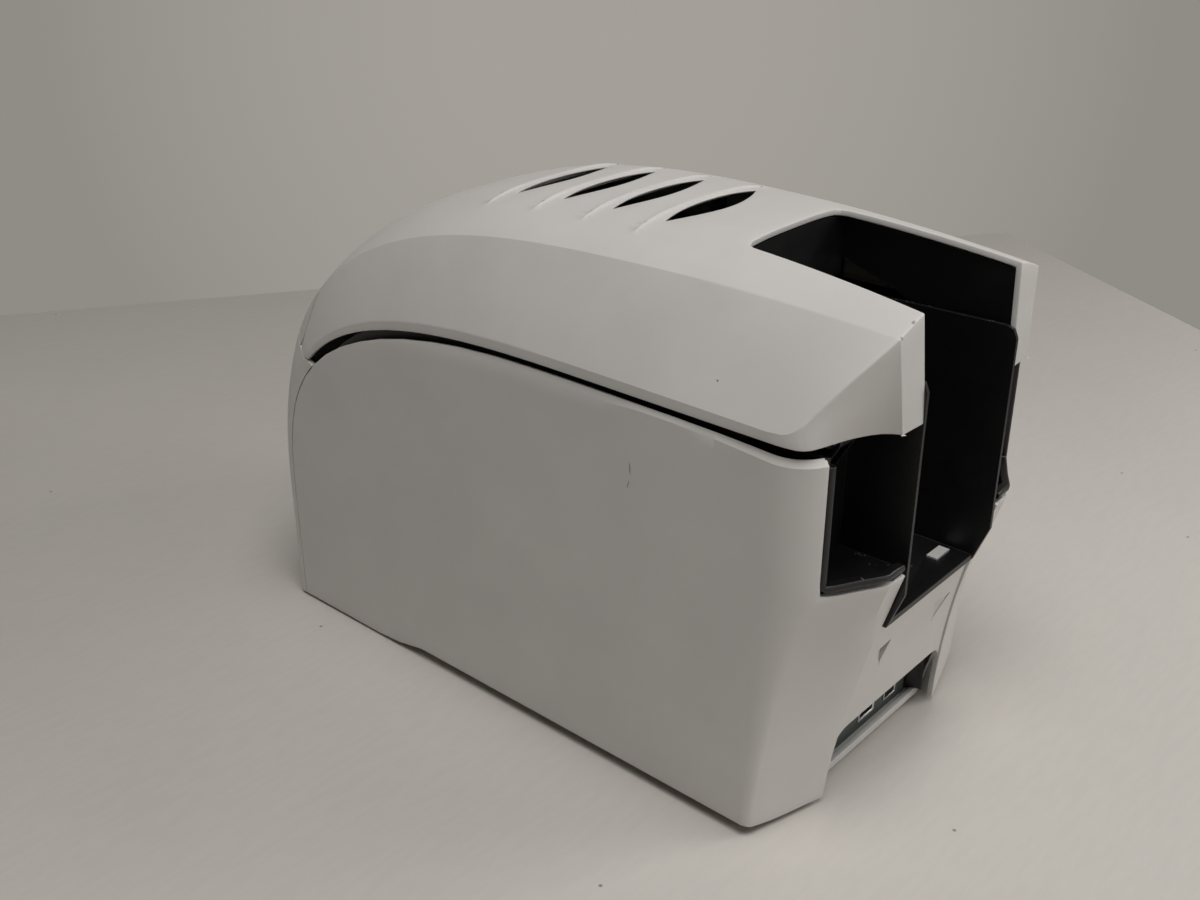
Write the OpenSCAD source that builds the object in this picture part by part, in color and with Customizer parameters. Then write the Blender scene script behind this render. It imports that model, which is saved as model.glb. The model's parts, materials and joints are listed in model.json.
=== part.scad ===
/* [Body] */
// Width of the housing across its flat sides
body_w = 205; // [195:1:215]
// Overall depth, from the front face to the rear ends of the cover
body_l = 396; // [380:1:420]
// Height of the side panels at their flat rear part
side_h = 207; // [200:1:215]
// Height of the crown of the top cover
crown_h = 274; // [262:1:284]
// Wall of the moulded panels
panel_wall = 3; // [2.4:0.1:3.4]
// Open gap between the cover rim and the side panels
cover_gap = 5.5; // [4:0.5:8]

/* [Cover] */
// Wall of the top cover
cover_wall = 3.2; // [2.6:0.1:3.6]
// Half width of the crown at the rear end, where it meets the shoulder
crease_rear = 63.6; // [60:0.2:66]
// Half width of the crown at the front end
crease_front = 93; // [88:1:95]
// Height of the upright rim band below the shoulder
rim_band = 5.5; // [4:0.5:7]
// Half width of the hopper cutout in the cover
cutout_half = 45.3; // [44.6:0.1:48]
// Length of the hopper cutout, from the rear end
cutout_l = 100.6; // [98:0.2:104]
// Half length of the open part of a louvre
louvre_half = 37; // [30:1:40]
// Distance from louvre to louvre
louvre_pitch = 33; // [30:1:36]
// Width of a louvre at its middle
louvre_w = 10.5; // [7:0.5:12]

/* [Hopper] */
// Inner half width of the card well
well_half = 41; // [40:0.5:41.5]
// Height of the floor of the card well
well_floor = 108.7; // [104:0.1:112]
// Top of the walls of the card well
well_top = 233; // [226:1:236]
// Wall of the well and the side bays
well_wall = 2; // [1.6:0.1:2.2]
// Height of the floor of the side bays
bay_floor = 140; // [134:1:146]

/* [Card path] */
// Width of a card
card_w = 54; // [54:0.1:55]
// Radius of the platen and of the transport rollers
roller_r = 7; // [6:0.5:8]
// Radius of the steel roller shafts
shaft_r = 3; // [2.5:0.5:4]
// Radial clearance of a shaft in its bush
run_fit = 0.05; // [0.03:0.01:0.08]
// Inner half distance between the two frame plates
frame_half = 47; // [46:0.5:48]
// Thickness of the frame plates
frame_t = 1.5; // [1.2:0.1:2]
// Module of the gears
gear_module = 1; // [1:0.05:1.1]

/* [Ribbon] */
// Radius of the full ribbon roll
supply_r = 17; // [14:0.5:18]
// Radius of the taken up ribbon roll
takeup_r = 12; // [10:0.5:14]
// Width of the ribbon
ribbon_w = 58; // [56:0.5:60]

/* [Hidden] */
half_w = body_w / 2;
rear_y = body_l / 2;
front_y = -body_l / 2;
// Clearance between fixed pieces that are pushed or screwed together
fit = 0.3;
foot_h = 4;
base_z = foot_h;
skirt_z = 2;
panel_z = 7.4;
light = [0.86, 0.86, 0.85];
black = [0.09, 0.09, 0.1];
steel = [0.72, 0.73, 0.75];
// The long curves of the housing are superellipses about one axis point
axis_y = front_y + 260;
axis_z = 64;
function sup_y(a, n, t) = axis_y - a * pow(cos(t), 2 / n);
function sup_z(b, n, t) = axis_z + b * pow(sin(t), 2 / n);
function sup_h(a, b, n, y) = axis_z + b * pow(max(0, 1 - pow(max(0, (axis_y - y) / a), n)), 1 / n);

// Outer form of the cover and the front: long curves from the middle of the crown to the rim
cross_n = 5;
rear_drop = 8.5;
crease_drop = 7;
crease_h = crown_h - 11;
rim_h = side_h + cover_gap + rim_band;
function crease_x(y) = crease_rear + (crease_front - crease_rear) * (rear_y - 4 - y) / (body_l - 4);
function rear_k(y) = pow(max(0, y - axis_y) / (rear_y - axis_y), 2);
// One point of the form: s runs 0 at the middle, 1 at the crease and 2 at the rim
function crown_pt(s, y) = let (k = pow(s, 3)) [s * crease_x(y), y,
    crown_h - (crown_h - crease_h) * k - rear_k(y) * (rear_drop + (crease_drop - rear_drop) * k)];
function front_pt(s, t) = let (
    k = pow(s, 3),
    n = 3.3 - 0.45 * k,
    y = sup_y(260 - 2 * k, n, t))
    [s * crease_x(y), y, sup_z(crown_h - axis_z - (crown_h - crease_h) * k, n, t)];
function rim_pt(y, t) = t >= 90 ? [half_w, y, rim_h - rear_k(y)]
    : [half_w, sup_y(248, 3.1, t), sup_z(rim_h - axis_z, 3.1, t)];
function form_pt(s, y, t) = s <= 1 ? (t >= 90 ? crown_pt(s, y) : front_pt(s, t))
    : let (
        k = s - 1,
        crease = t >= 90 ? crown_pt(1, y) : front_pt(1, t),
        rim = rim_pt(y, t),
        swell = 3 * k * (1 - k))
        crease + k * (rim - crease) + swell * [1, 0, 0.8];
// Stations along the form: angles round the front curve, then lengths to the rear
turns = [0, 4, 9, 15, 22, 30, 39, 49, 60, 72, 84];
lengths = [for (k = [0 : 6]) axis_y + k * (rear_y - axis_y) / 6];
stations = concat([for (t = turns) [0, t]], [for (y = lengths) [y, 90]]);
half_s = concat([for (k = [0 : cross_n]) k / cross_n], [1.33, 1.67, 2]);
sides = concat([for (k = [len(half_s) - 1 : -1 : 1]) -half_s[k]], half_s);
function mirrored(p, s) = s < 0 ? [-p[0], p[1], p[2]] : p;
function inner(p, wall) = let (
    f = 1 - wall / half_w,
    g = wall / 210)
    [p[0] * f, axis_y + (p[1] - axis_y) * (p[1] < axis_y ? 1 - wall / 255 : 1),
        axis_z + (p[2] - axis_z) * (1 - g) - wall * g];
// Solid below the form, down to low_z, drawn in by wall and running past the rear by over
module form_solid(wall, low_z, over) {
    cols = len(sides) + 2;
    rows = len(stations);
    function row_pts(st) = let (
        pts = [for (s = sides) mirrored(form_pt(abs(s), st[0], st[1]), s)],
        ins = [for (p = pts) inner(p, wall)],
        last = len(ins) - 1,
        past = st[1] >= 90 && st[0] >= rear_y - 0.01 ? over : 0)
        concat([[ins[0][0], ins[0][1] + past, low_z]],
            [for (p = ins) [p[0], p[1] + past, max(p[2], low_z + 0.01)]],
            [[ins[last][0], ins[last][1] + past, low_z]]);
    pts = [for (st = stations) each row_pts(st)];
    skin = [for (r = [0 : rows - 2]) for (c = [0 : cols - 2]) each [
        [r * cols + c, (r + 1) * cols + c, (r + 1) * cols + c + 1],
        [r * cols + c, (r + 1) * cols + c + 1, r * cols + c + 1]]];
    under = [for (r = [0 : rows - 2]) each [
        [r * cols, r * cols + cols - 1, (r + 1) * cols + cols - 1],
        [r * cols, (r + 1) * cols + cols - 1, (r + 1) * cols]]];
    front_cap = [[for (c = [0 : cols - 1]) c]];
    rear_cap = [[for (c = [cols - 1 : -1 : 0]) (rows - 1) * cols + c]];
    polyhedron(points = pts, faces = concat(skin, under, front_cap, rear_cap), convexity = 6);
}
module form_shell(wall, low_z) {
    difference() {
        form_solid(0, low_z, 0);
        form_solid(wall, low_z - 5, 5);
    }
}

function back(list) = [for (k = [len(list) - 1 : -1 : 0]) list[k]];

// Area in side view under a superellipse of the housing, from low_z up to its flat rear part
module side_area(a, b, n, low_z) {
    arc = [for (t = [0 : 6 : 90]) [sup_y(a, n, t), sup_z(b, n, t)]];
    polygon(concat([[sup_y(a, n, 0), low_z]], arc, [[rear_y + 20, axis_z + b], [rear_y + 20, low_z]]));
}
// Turns a side view drawn as Y, Z into a solid across the housing, from x0 to x1
module across(x0, x1) {
    translate([x0, 0, 0]) rotate([90, 0, 90]) linear_extrude(x1 - x0) children();
}
// Turns a plan drawn as X, Y into a solid from z0 to z1
module upright(z0, z1) {
    translate([0, 0, z0]) linear_extrude(z1 - z0) children();
}
// Turns a front view drawn as X, Z into a solid from y0 to y1
module through(y0, y1) {
    translate([0, y1, 0]) rotate([90, 0, 0]) linear_extrude(y1 - y0) children();
}
module rod_x(x0, x1, y, z, r) {
    translate([x0, y, z]) rotate([0, 90, 0]) cylinder(h = x1 - x0, r = r, $fn = 48);
}
module both_sides() {
    children();
    mirror([1, 0, 0]) children();
}

// Rear of the body in plan: it swings out from the floor to the side bays
function swing(z) = pow(min(max(z, 0), bay_floor) / bay_floor, 1.6);
rear_mid = rear_y - 26.5;
rear_corner = rear_y - 41;
flat_half = 59;
levels = [0, 14, 34, 56, 76, 94, 108, 124, bay_floor, side_h + 40];
function rear_half(z, w) = let (
    q = swing(z),
    mid = rear_mid + 26 * q - w,
    corner = [half_w - w, rear_corner + 14.7 * q - 0.6 * w],
    flat = [flat_half - 0.3 * w, mid - 1],
    run = (flat - corner) / norm(flat - corner),
    reach = 4 + 9 * q,
    from = corner - [0, reach],
    to = corner + run * reach)
    concat([for (t = [0 : 0.25 : 1]) (1 - t) * (1 - t) * from + 2 * t * (1 - t) * corner + t * t * to],
        [flat, [0, mid]]);
module body_solid(w) {
    front = front_y - 10;
    rings = [for (z = levels) let (h = rear_half(z, w))
        concat([[half_w - w, front, z]], [for (p = h) [p[0], p[1], z]],
            [for (k = [len(h) - 2 : -1 : 0]) [-h[k][0], h[k][1], z]], [[-half_w + w, front, z]])];
    n = len(rings[0]);
    m = len(rings);
    wall = [for (r = [0 : m - 2]) for (c = [0 : n - 1]) let (d = (c + 1) % n) each [
        [r * n + c, (r + 1) * n + c, (r + 1) * n + d],
        [r * n + c, (r + 1) * n + d, r * n + d]]];
    polyhedron(points = [for (g = rings) each g], convexity = 6, faces = concat(wall,
        [[for (c = [0 : n - 1]) c]], [[for (c = [n - 1 : -1 : 0]) (m - 1) * n + c]]));
}

body_a = 244;
body_b = side_h - axis_z;
leg_in_low = 56;
leg_in_high = 45;
recess_top = 41.5;
// Middle gap between the two rear legs, in front view
module leg_gap(grow) {
    polygon([for (s = [1, -1]) each (s > 0
        ? [[leg_in_low + grow, -5], [52 + grow, recess_top], [47 + grow, 80], [leg_in_high + grow, 110],
            [leg_in_high + grow, side_h + 5]]
        : [[-leg_in_high - grow, side_h + 5], [-leg_in_high - grow, 110], [-47 - grow, 80],
            [-52 - grow, recess_top], [-leg_in_low - grow, -5]])]);
}
bay_out = 89;
skirt_end = front_y + 101;
module side_outline() {
    intersection() {
        side_area(body_a, body_b, 3.1, -1);
        polygon([[front_y, skirt_z], [skirt_end, skirt_z], [skirt_end + 12, panel_z],
            [rear_y - 42, panel_z], [rear_y - 36, foot_h], [rear_y + 10, foot_h],
            [rear_y + 10, side_h + 5], [front_y, side_h + 5]]);
    }
}
module side_panel() {
    difference() {
        intersection() {
            difference() {
                body_solid(0);
                body_solid(panel_wall);
            }
            across(20, half_w + 5) side_outline();
        }
        through(rear_y - 60, rear_y + 20) leg_gap(0);
        // The side bay is open to the rear
        translate([leg_in_high - 5, rear_mid - 15, bay_floor - 2])
            cube([bay_out - leg_in_high + 5, 60, side_h]);
    }
    // Screw bosses that reach in to the chassis walls
    for (y = boss_ys) translate([shroud_x + fit, y, base_z + 9]) difference() {
        translate([0, -5, 0]) cube([shroud_gap - fit + 0.5, 10, 12]);
        translate([-1, 0, 6]) rotate([0, 90, 0]) cylinder(h = 5, r = 1.3, $fn = 24);
    }
}
shroud_gap = 4;
shroud_x = half_w - panel_wall - shroud_gap;
boss_ys = [-120, 20, 130];
module side_panel_right() { color(light) side_panel(); }
module side_panel_left() { color(light) mirror([1, 0, 0]) side_panel(); }

// Floor tray that carries the frame plates, the board and the feet
tray_in = panel_wall + fit;
tray_h = 8;
tray_floor = 3;
module tray_plan(w) {
    side = half_w - tray_in - w;
    half = [[side, front_y + 22 + w], [side, rear_corner - 8 - w], [leg_in_low - 2 - w, rear_y - 36 - w]];
    polygon(concat(half, [for (p = back(half)) [-p[0], p[1]]]));
}
foot_x = 78;
foot_ys = [front_y + 46, rear_y - 66];
module base_tray() {
    color(light) difference() {
        upright(base_z, base_z + tray_h) tray_plan(0);
        upright(base_z + tray_floor, base_z + tray_h + 1) tray_plan(2.4);
        // Air slots in the floor
        for (k = [-4 : 4]) translate([k * 12 - 2, -70, base_z - 1]) cube([4, 60, tray_floor + 2]);
        for (x = [-foot_x, foot_x], y = foot_ys)
            translate([x, y, base_z - 1]) cylinder(h = 6, r = 2, $fn = 32);
    }
}
module rubber_feet() {
    color([0.12, 0.12, 0.12]) for (x = [-foot_x, foot_x], y = foot_ys) {
        translate([x, y, 0]) cylinder(h = foot_h, r1 = 8, r2 = 9, $fn = 48);
        translate([x, y, foot_h]) cylinder(h = tray_floor + 1, r = 2 - run_fit, $fn = 32);
    }
}

// Lower centre panel of the rear, with its recess for the sockets
plate_y = rear_y - 42;
module rear_panel() {
    color(light) difference() {
        union() {
            intersection() {
                difference() {
                    body_solid(0.2);
                    body_solid(panel_wall);
                }
                through(rear_y - 60, rear_y + 20) intersection() {
                    leg_gap(-fit);
                    translate([-half_w, recess_top]) square([body_w, well_floor - 3.3 - recess_top]);
                }
            }
            // Hood over the socket recess
            translate([-leg_in_low + 8, plate_y + 2, recess_top])
                cube([2 * leg_in_low - 16, rear_mid - plate_y, 2.4]);
        }
        // Two small notches of the panel
        for (s = [-1, 1]) translate([s * 28, rear_y - 17, 84]) rotate([0, s * 20, 0]) through(-8, 12)
            polygon([[-4, -9], [4, 7], [-3, 4]]);
    }
}

// Seams at the front: cover to fascia, and fascia to bezel
seam_gap = 0.6;
module behind_seam(grow) {
    polygon([[front_y + 41 - 0.27 * 145 - grow, 60], [front_y + 41 + 0.27 * 95 - grow, 300],
        [rear_y + 20, 300], [rear_y + 20, 60]]);
}
module below_seam(grow) {
    polygon([[front_y - 20, 0], [front_y - 20, 167 + 29 - grow], [front_y + 38, 167 - grow],
        [front_y + 70, 151 - grow], [front_y + 70, 0]]);
}
low_a = 248;
low_b = body_b + cover_gap;
module cover_area(low_z) {
    difference() {
        translate([front_y - 20, low_z]) square([body_l + 60, 320]);
        side_area(low_a, low_b, 3.1, low_z - 1);
    }
}
cutout_front = rear_y - cutout_l;
module cutout_plan() {
    r = 4;
    hull() {
        for (s = [-1, 1]) {
            translate([s * (cutout_half - 5.4 - r), cutout_front + r]) circle(r, $fn = 32);
            translate([s * (cutout_half - 1), rear_y + 12]) square([2, 2], center = true);
        }
    }
}
// Plan of the cover, with its rear corners cut at a slant
module cover_plan(w) {
    half = [[half_w + 2, front_y - 10], [half_w + 2, rear_y - 30 - w], [88 - 0.4 * w, rear_y - 25.5 - w],
        [75.6 - 0.5 * w, rear_y - 21.8 - w], [crease_rear + 2.4 - 0.8 * w, rear_y - 16 - 0.7 * w],
        [crease_rear - 3 - 0.7 * w, rear_y - 7.5 - 0.7 * w], [crease_rear - 5.5 - 0.4 * w, rear_y - 5.8 - w]];
    polygon(concat(half, [for (p = back(half)) [-p[0], p[1]]]));
}
louvre_ys = [for (k = [0 : 3]) front_y + 147 + k * louvre_pitch];
bow_steps = [for (k = [-1 : 0.2 : 1.001]) k];
function bow(half, dy, rise) = [for (k = bow_steps) [k * half, dy + rise * (1 - k * k)]];
// Leaf shaped opening, and the raised lip in front of it
module louvre_opening(k) {
    rear_bow = louvre_w - 4 + (k == 3 ? 4 : 0);
    polygon(concat(bow(louvre_half, 0, -4), back([for (p = bow(louvre_half, 0, rear_bow))
        if (abs(p[0]) < louvre_half - 0.01) p])));
}
lip_half = louvre_half + 18;
module louvre_lip() {
    polygon(concat(bow(lip_half, -4.5, -3.6), back([for (p = bow(lip_half, -4.5, 0.4))
        if (abs(p[0]) < lip_half - 0.01) p])));
}
lip_h = 1.6;
cover_low = 100;
// The rear end of the cover leans: it stands further back at its foot
lean = 7.1;
lean_z = crown_h - 12;
module leaning() {
    translate([0, rear_y, lean_z]) rotate([lean, 0, 0]) translate([0, -rear_y, -lean_z]) children();
}
module cover_block(wall, low_z, over) {
    intersection() {
        form_solid(wall, low_z, over);
        leaning() upright(low_z - 60, 330) cover_plan(wall);
    }
}
module top_cover() {
    color(light) difference() {
        intersection() {
            union() {
                difference() {
                    cover_block(0, cover_low, 0);
                    cover_block(cover_wall, cover_low - 5, 5);
                }
                difference() {
                    intersection() {
                        form_solid(-lip_h, crown_h - 60, 0);
                        upright(crown_h - 30, crown_h + 10) for (y = louvre_ys)
                            translate([0, y]) louvre_lip();
                    }
                    form_solid(cover_wall / 2, crown_h - 80, 5);
                }
            }
            across(-half_w - 5, half_w + 5) difference() {
                intersection() {
                    cover_area(cover_low - 2);
                    behind_seam(0);
                }
                below_seam(-seam_gap);
            }
        }
        upright(cover_low, 300) cutout_plan();
        for (k = [0 : 3]) upright(crown_h - 40, 300) translate([0, louvre_ys[k]]) louvre_opening(k);
    }
}
window_half = 27;
window_z = 196;
window_h = 17;
button_tilt = 25;
status_x = 42;
status_y = front_y + 21;
status_z = 197;
status_r = 4.5;
module status_hole(grow) {
    translate([status_x, status_y, status_z]) rotate([90 - button_tilt, 0, 0])
        translate([0, 0, -14]) cylinder(h = 30, r = status_r + grow, $fn = 48);
}
module cover_fascia() {
    color(light) difference() {
        intersection() {
            form_shell(cover_wall, cover_low);
            across(-half_w - 5, half_w + 5) difference() {
                cover_area(cover_low - 2);
                behind_seam(seam_gap);
                below_seam(-seam_gap);
            }
        }
        through(front_y - 10, front_y + 60) window_plan(0);
        status_hole(0.25);
    }
}
module window_plan(grow) {
    translate([-window_half + 4 + grow, window_z - window_h / 2 + grow]) offset(r = 2)
        translate([2, 2]) square([2 * window_half - 12 - 2 * grow, window_h - 4 - 2 * grow]);
}
module display_window() {
    color(black) intersection() {
        difference() {
            form_solid(0.6, 170, 0);
            form_solid(cover_wall, 165, 0);
        }
        through(front_y - 10, front_y + 60) window_plan(0.15);
    }
}
module status_button() {
    color([0.75, 0.77, 0.8]) intersection() {
        translate([status_x, status_y, status_z]) rotate([90 - button_tilt, 0, 0]) union() {
            translate([0, 0, -8]) cylinder(h = 12, r = status_r, $fn = 48);
            translate([0, 0, -8]) cylinder(h = 1.6, r = status_r + 1.6, $fn = 48);
        }
        translate([0, -100, 200]) cube([200, 300, 200], center = true);
    }
}

// Front bezel with the output opening, carrying the release and power buttons
bezel_side = body_a + seam_gap;
release_z = 142;
release_r = 8;
power_x = 66;
power_z = 92;
power_r = 5;
opening_half = 34;
opening_z0 = 30;
opening_z1 = 120;
bezel_back = axis_y - bezel_side;
bezel_low = axis_z - 4;
module bezel_area() {
    difference() {
        intersection() {
            below_seam(0);
            translate([front_y - 10, bezel_low]) square([120, 220]);
        }
        side_area(bezel_side, body_b + seam_gap, 3.1, -5);
        translate([bezel_back, -5]) square([60, axis_z + 5]);
    }
}
// Plan of the front below the axis, where it stands upright
module front_plan(wall, back_y) {
    pts = [for (s = sides) inner(mirrored(form_pt(abs(s), 0, 0), s), wall)];
    side = half_w - wall;
    polygon(concat([[-side, back_y]], [for (p = pts) [p[0], p[1]]], [[side, back_y]]));
}
module front_bezel() {
    color(light) difference() {
        union() {
            intersection() {
                form_shell(panel_wall, bezel_low);
                across(-half_w - 5, half_w + 5) bezel_area();
            }
            upright(skirt_z, axis_z) difference() {
                front_plan(0, bezel_back);
                front_plan(panel_wall, bezel_back + 1);
            }
        }
        translate([-opening_half, front_y - 10, opening_z0])
            cube([2 * opening_half, 30, opening_z1 - opening_z0]);
        translate([0, front_y - 10, release_z]) rotate([-90, 0, 0])
            cylinder(h = 30, r = release_r + 0.3, $fn = 64);
        translate([power_x, front_y - 10, power_z]) rotate([-90, 0, 0])
            cylinder(h = 30, r = power_r + 0.3, $fn = 48);
    }
}

// Output hopper set into the bezel: a pocket that catches the printed cards
path_z = well_floor + 0.6;
pocket_d = 34;
slot_h = 5;
module output_hopper() {
    w = opening_half - fit;
    color(black) difference() {
        translate([-w, front_y + 1, opening_z0 + fit])
            cube([2 * w, pocket_d, opening_z1 - opening_z0 - 2 * fit]);
        translate([-w + 2, front_y - 5, opening_z0 + 3])
            cube([2 * w - 4, pocket_d + 3, opening_z1 - opening_z0 - 6]);
        // Card slot in the back wall of the pocket
        translate([-card_w / 2 - 1.5, front_y + pocket_d - 4, path_z - slot_h / 2])
            cube([card_w + 3, 10, slot_h]);
    }
    // Lip that keeps the cards in
    color(black) difference() {
        translate([-w + 2, front_y + 1, opening_z0 + 2.9]) cube([2 * w - 4, 2, 24]);
        through(front_y - 5, front_y + 8) translate([0, opening_z0 + 27]) circle(11, $fn = 48);
    }
}

// Black housing at the rear: the card well, the two side bays and the hinge ears
hinge_y = rear_y - 26;
hinge_z = side_h + 3;
pin_r = 2;
ear_in = 62;
ear_out = 78;
ear_t = 3;
bay_front = rear_mid - 13;
divider_rear = rear_y - 1.5;
well_front = cutout_front + 3;
feed_y = 118;
module card_hopper() {
    out = well_half + well_wall;
    color(black) difference() {
        union() {
            // Side walls of the well, leaning in plan to the rear like the housing
            both_sides() across(well_half, out) intersection() {
                polygon([[well_front, well_floor - 3], [rear_y - 9, well_floor - 3],
                    [divider_rear, bay_floor - 14], [divider_rear, well_top - 6],
                    [divider_rear - 2, well_top - 1.5], [divider_rear - 6, well_top],
                    [well_front, well_top - 2]]);
            }
            // Floor and front wall of the well
            translate([-out + 0.5, well_front, well_floor - 3])
                cube([2 * out - 1, rear_y - 9 - well_front, 3]);
            translate([-frame_half, well_front, well_floor - 3]) cube([2 * frame_half, 6.5, 3]);
            translate([-out + 0.5, well_front, well_floor - 1])
                cube([2 * out - 1, well_wall, well_top - 2 - well_floor]);
            both_sides() {
                // Floor, front and outer wall of a side bay
                upright(bay_floor - well_wall, bay_floor) polygon([[out - 0.5, bay_front],
                    [bay_out, bay_front], [bay_out, rear_corner + 16.6], [flat_half - 1, rear_mid + 21],
                    [flat_half - 6, rear_mid + 23.6], [out - 0.5, rear_mid + 23.6]]);
                translate([out - 0.5, bay_front, bay_floor - 1])
                    cube([bay_out - out + 0.5, well_wall, side_h - 6 - bay_floor]);
                upright(bay_floor - well_wall, side_h) polygon([[bay_out - well_wall, bay_front],
                    [bay_out, bay_front], [bay_out, rear_corner + 20], [bay_out - well_wall, rear_corner + 21.2]]);
                // Web that carries the hinge ears
                for (x = [ear_in, ear_out - ear_t]) across(x, x + ear_t) difference() {
                    union() {
                        polygon([[bay_front + 0.5, side_h - 30], [bay_front + 0.5, side_h - 8],
                            [hinge_y - 3, hinge_z + 3.8], [hinge_y + 3.6, hinge_z - 3.4]]);
                        translate([hinge_y, hinge_z]) circle(5, $fn = 48);
                    }
                    translate([hinge_y, hinge_z]) circle(pin_r + run_fit, $fn = 48);
                }
            }
        }
        // Gate for the bottom card, and the slot over the feed roller
        translate([-card_w / 2 - 1, well_front - 5, well_floor]) cube([card_w + 2, 12, 2.2]);
        translate([-22, feed_y - 7, well_floor - 6]) cube([44, 14, 9]);
        // Seat of the cassette catch
        translate([-37.2, rear_y - 25.7, well_floor - 4]) cube([13.4, 6.4, 6]);
    }
}
module cassette_catch() {
    color([0.88, 0.88, 0.87]) {
        translate([-37, rear_y - 25.5, well_floor - 3]) cube([13, 6, 3.8]);
        translate([-38, rear_y - 26.5, well_floor - 4.4]) cube([15, 8, 1.1]);
    }
}

// Upright walls of the chassis that stand inside the side panels and close the gap from within
shroud_t = 1.5;
shroud_rise = 9;
module side_shrouds() {
    color(black) both_sides() {
        across(shroud_x - shroud_t, shroud_x) difference() {
            intersection() {
                side_area(body_a - 9, body_b + shroud_rise, 3.1, base_z + tray_floor);
                translate([front_y + 33, base_z + tray_floor]) square([body_l - 90, 240]);
            }
            // Window that leaves the gears and the belt within reach
            translate([front_y + 60, base_z + 30]) square([230, 120]);
        }
        // Foot that stands on the tray
        translate([shroud_x - 8, front_y + 60, base_z + tray_floor]) cube([8, 230, 1.5]);
    }
}

// Sockets in the recess at the foot of the rear
module port_hole(x, z, w, h) { translate([x - w / 2, z]) square([w, h]); }
net_x = -6;
usb_x = -30;
inlet_x = 24;
port_z = base_z + 8;
module port_plate() {
    color([0.34, 0.38, 0.36]) through(plate_y, plate_y + 1) difference() {
        translate([-47, base_z + tray_floor]) square([94, recess_top - base_z - tray_floor - 0.5]);
        port_hole(net_x, port_z, 16.2, 13.4);
        port_hole(usb_x, port_z, 12.4, 11.3);
        translate([inlet_x, port_z + 7]) circle(5.7, $fn = 48);
    }
}
module socket_body(x, w, h, d, t) {
    translate([x - w / 2, plate_y - d, port_z + 0.2]) difference() {
        cube([w, d + 1.6, h]);
        translate([t, 3, t]) cube([w - 2 * t, d + 5, h - 2 * t]);
    }
}
module network_socket() {
    color([0.75, 0.76, 0.78]) socket_body(net_x, 15.9, 13.1, 15, 1.8);
}
module usb_socket() {
    color([0.8, 0.81, 0.83]) {
        socket_body(usb_x, 12, 10.9, 14, 1);
        translate([usb_x - 2.8, plate_y - 12, port_z + 4.1]) cube([5.6, 9, 3]);
    }
}
module power_inlet() {
    color(black) {
        translate([inlet_x, plate_y - 12, port_z + 7]) rotate([-90, 0, 0]) difference() {
            cylinder(h = 13.5, r = 5.4, $fn = 48);
            translate([0, 0, 3]) cylinder(h = 12, r = 3.2, $fn = 48);
        }
        translate([inlet_x, plate_y - 10, port_z + 7]) rotate([-90, 0, 0]) cylinder(h = 10, r = 1, $fn = 32);
        translate([inlet_x - 5.4, plate_y - 12, base_z + 5.2]) cube([10.8, 11.6, 5]);
    }
}
board_z = base_z + 3.6;
module main_board() {
    color([0.1, 0.32, 0.2]) {
        translate([-44, plate_y - 104, board_z]) cube([88, 100, 1.6]);
        translate([-30, plate_y - 70, board_z + 1.5]) cube([18, 18, 2]);
        translate([2, plate_y - 84, board_z + 1.5]) cube([26, 9, 2.4]);
        for (x = [18, 34]) translate([x, plate_y - 40, board_z + 1.5]) cylinder(h = 14, r = 5, $fn = 32);
    }
}

// Steel frame plates with the bores for every shaft
axle_z = path_z - 0.2 - roller_r;
platen_y = -2;
clean_y = 78;
drive_y = -78;
exit_y = -140;
supply_y = 42;
takeup_y = -52;
spool_z = 150;
roller_ys = [feed_y, clean_y, platen_y, drive_y, exit_y];
idler_ys = [clean_y, drive_y, exit_y];
idler_r = 5;
idler_z = path_z + 1 + idler_r;
bush_r = shaft_r + 2;
plate_front = front_y + 48;
plate_rear = well_front - 1;
// Gear train: pinion to idler to the gear on the platen shaft
pinion_n = 14;
idler_n = 30;
platen_n = 32;
takeup_n = 34;
small_n = 12;
mesh_slack = 0.12;
function centres(a, b) = (a + b) * gear_module / 2 + mesh_slack;
idler_gear_z = axle_z - centres(idler_n, platen_n);
motor_y = platen_y + centres(pinion_n, idler_n) * cos(45);
motor_z = idler_gear_z - centres(pinion_n, idler_n) * sin(45);
small_y = takeup_y - centres(small_n, takeup_n) * sin(45);
small_z = spool_z - centres(small_n, takeup_n) * cos(45);
rod_spots = [[plate_front + 8, 40], [plate_front + 8, 82], [60, 60], [70, 160], [-86, 160]];
rod_r = 3;
latch_y = plate_front + 6;
latch_z = 150;
module frame_plate() {
    across(frame_half, frame_half + frame_t) difference() {
        polygon([[plate_front, base_z + tray_floor], [plate_front, 158], [plate_front + 16, 158],
            [plate_front + 40, 132], [-100, 132], [-94, 170], [78, 170], [82, 128], [plate_rear, 128],
            [plate_rear, 113], [feed_y + 14, 113], [feed_y + 14, 84], [60, 40], [60, base_z + tray_floor]]);
        for (y = roller_ys) translate([y, axle_z]) circle(bush_r + 0.05, $fn = 64);
        for (y = idler_ys) translate([y, idler_z]) circle(2 + run_fit, $fn = 48);
        for (y = [supply_y, takeup_y]) translate([y, spool_z]) circle(4 + run_fit, $fn = 64);
        for (p = rod_spots) translate(p) circle(rod_r - 1 + 0.05, $fn = 48);
        translate([latch_y, latch_z]) circle(pin_r + run_fit, $fn = 48);
        translate([motor_y, motor_z]) circle(11.2, $fn = 64);
        translate([platen_y, idler_gear_z]) circle(pin_r + run_fit, $fn = 48);
        // Windows that lighten the plate
        for (y = [-122, -96]) translate([y, 50]) square([18, 26]);
    }
    // Foot flange screwed to the tray
    translate([frame_half - 10, plate_front, base_z + tray_floor]) cube([10.5, 14, frame_t]);
    translate([frame_half - 10, 34, base_z + tray_floor]) cube([10.5, 14, frame_t]);
}
module frame_plate_right() { color(steel) frame_plate(); }
module frame_plate_left() { color(steel) mirror([1, 0, 0]) frame_plate(); }
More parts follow.
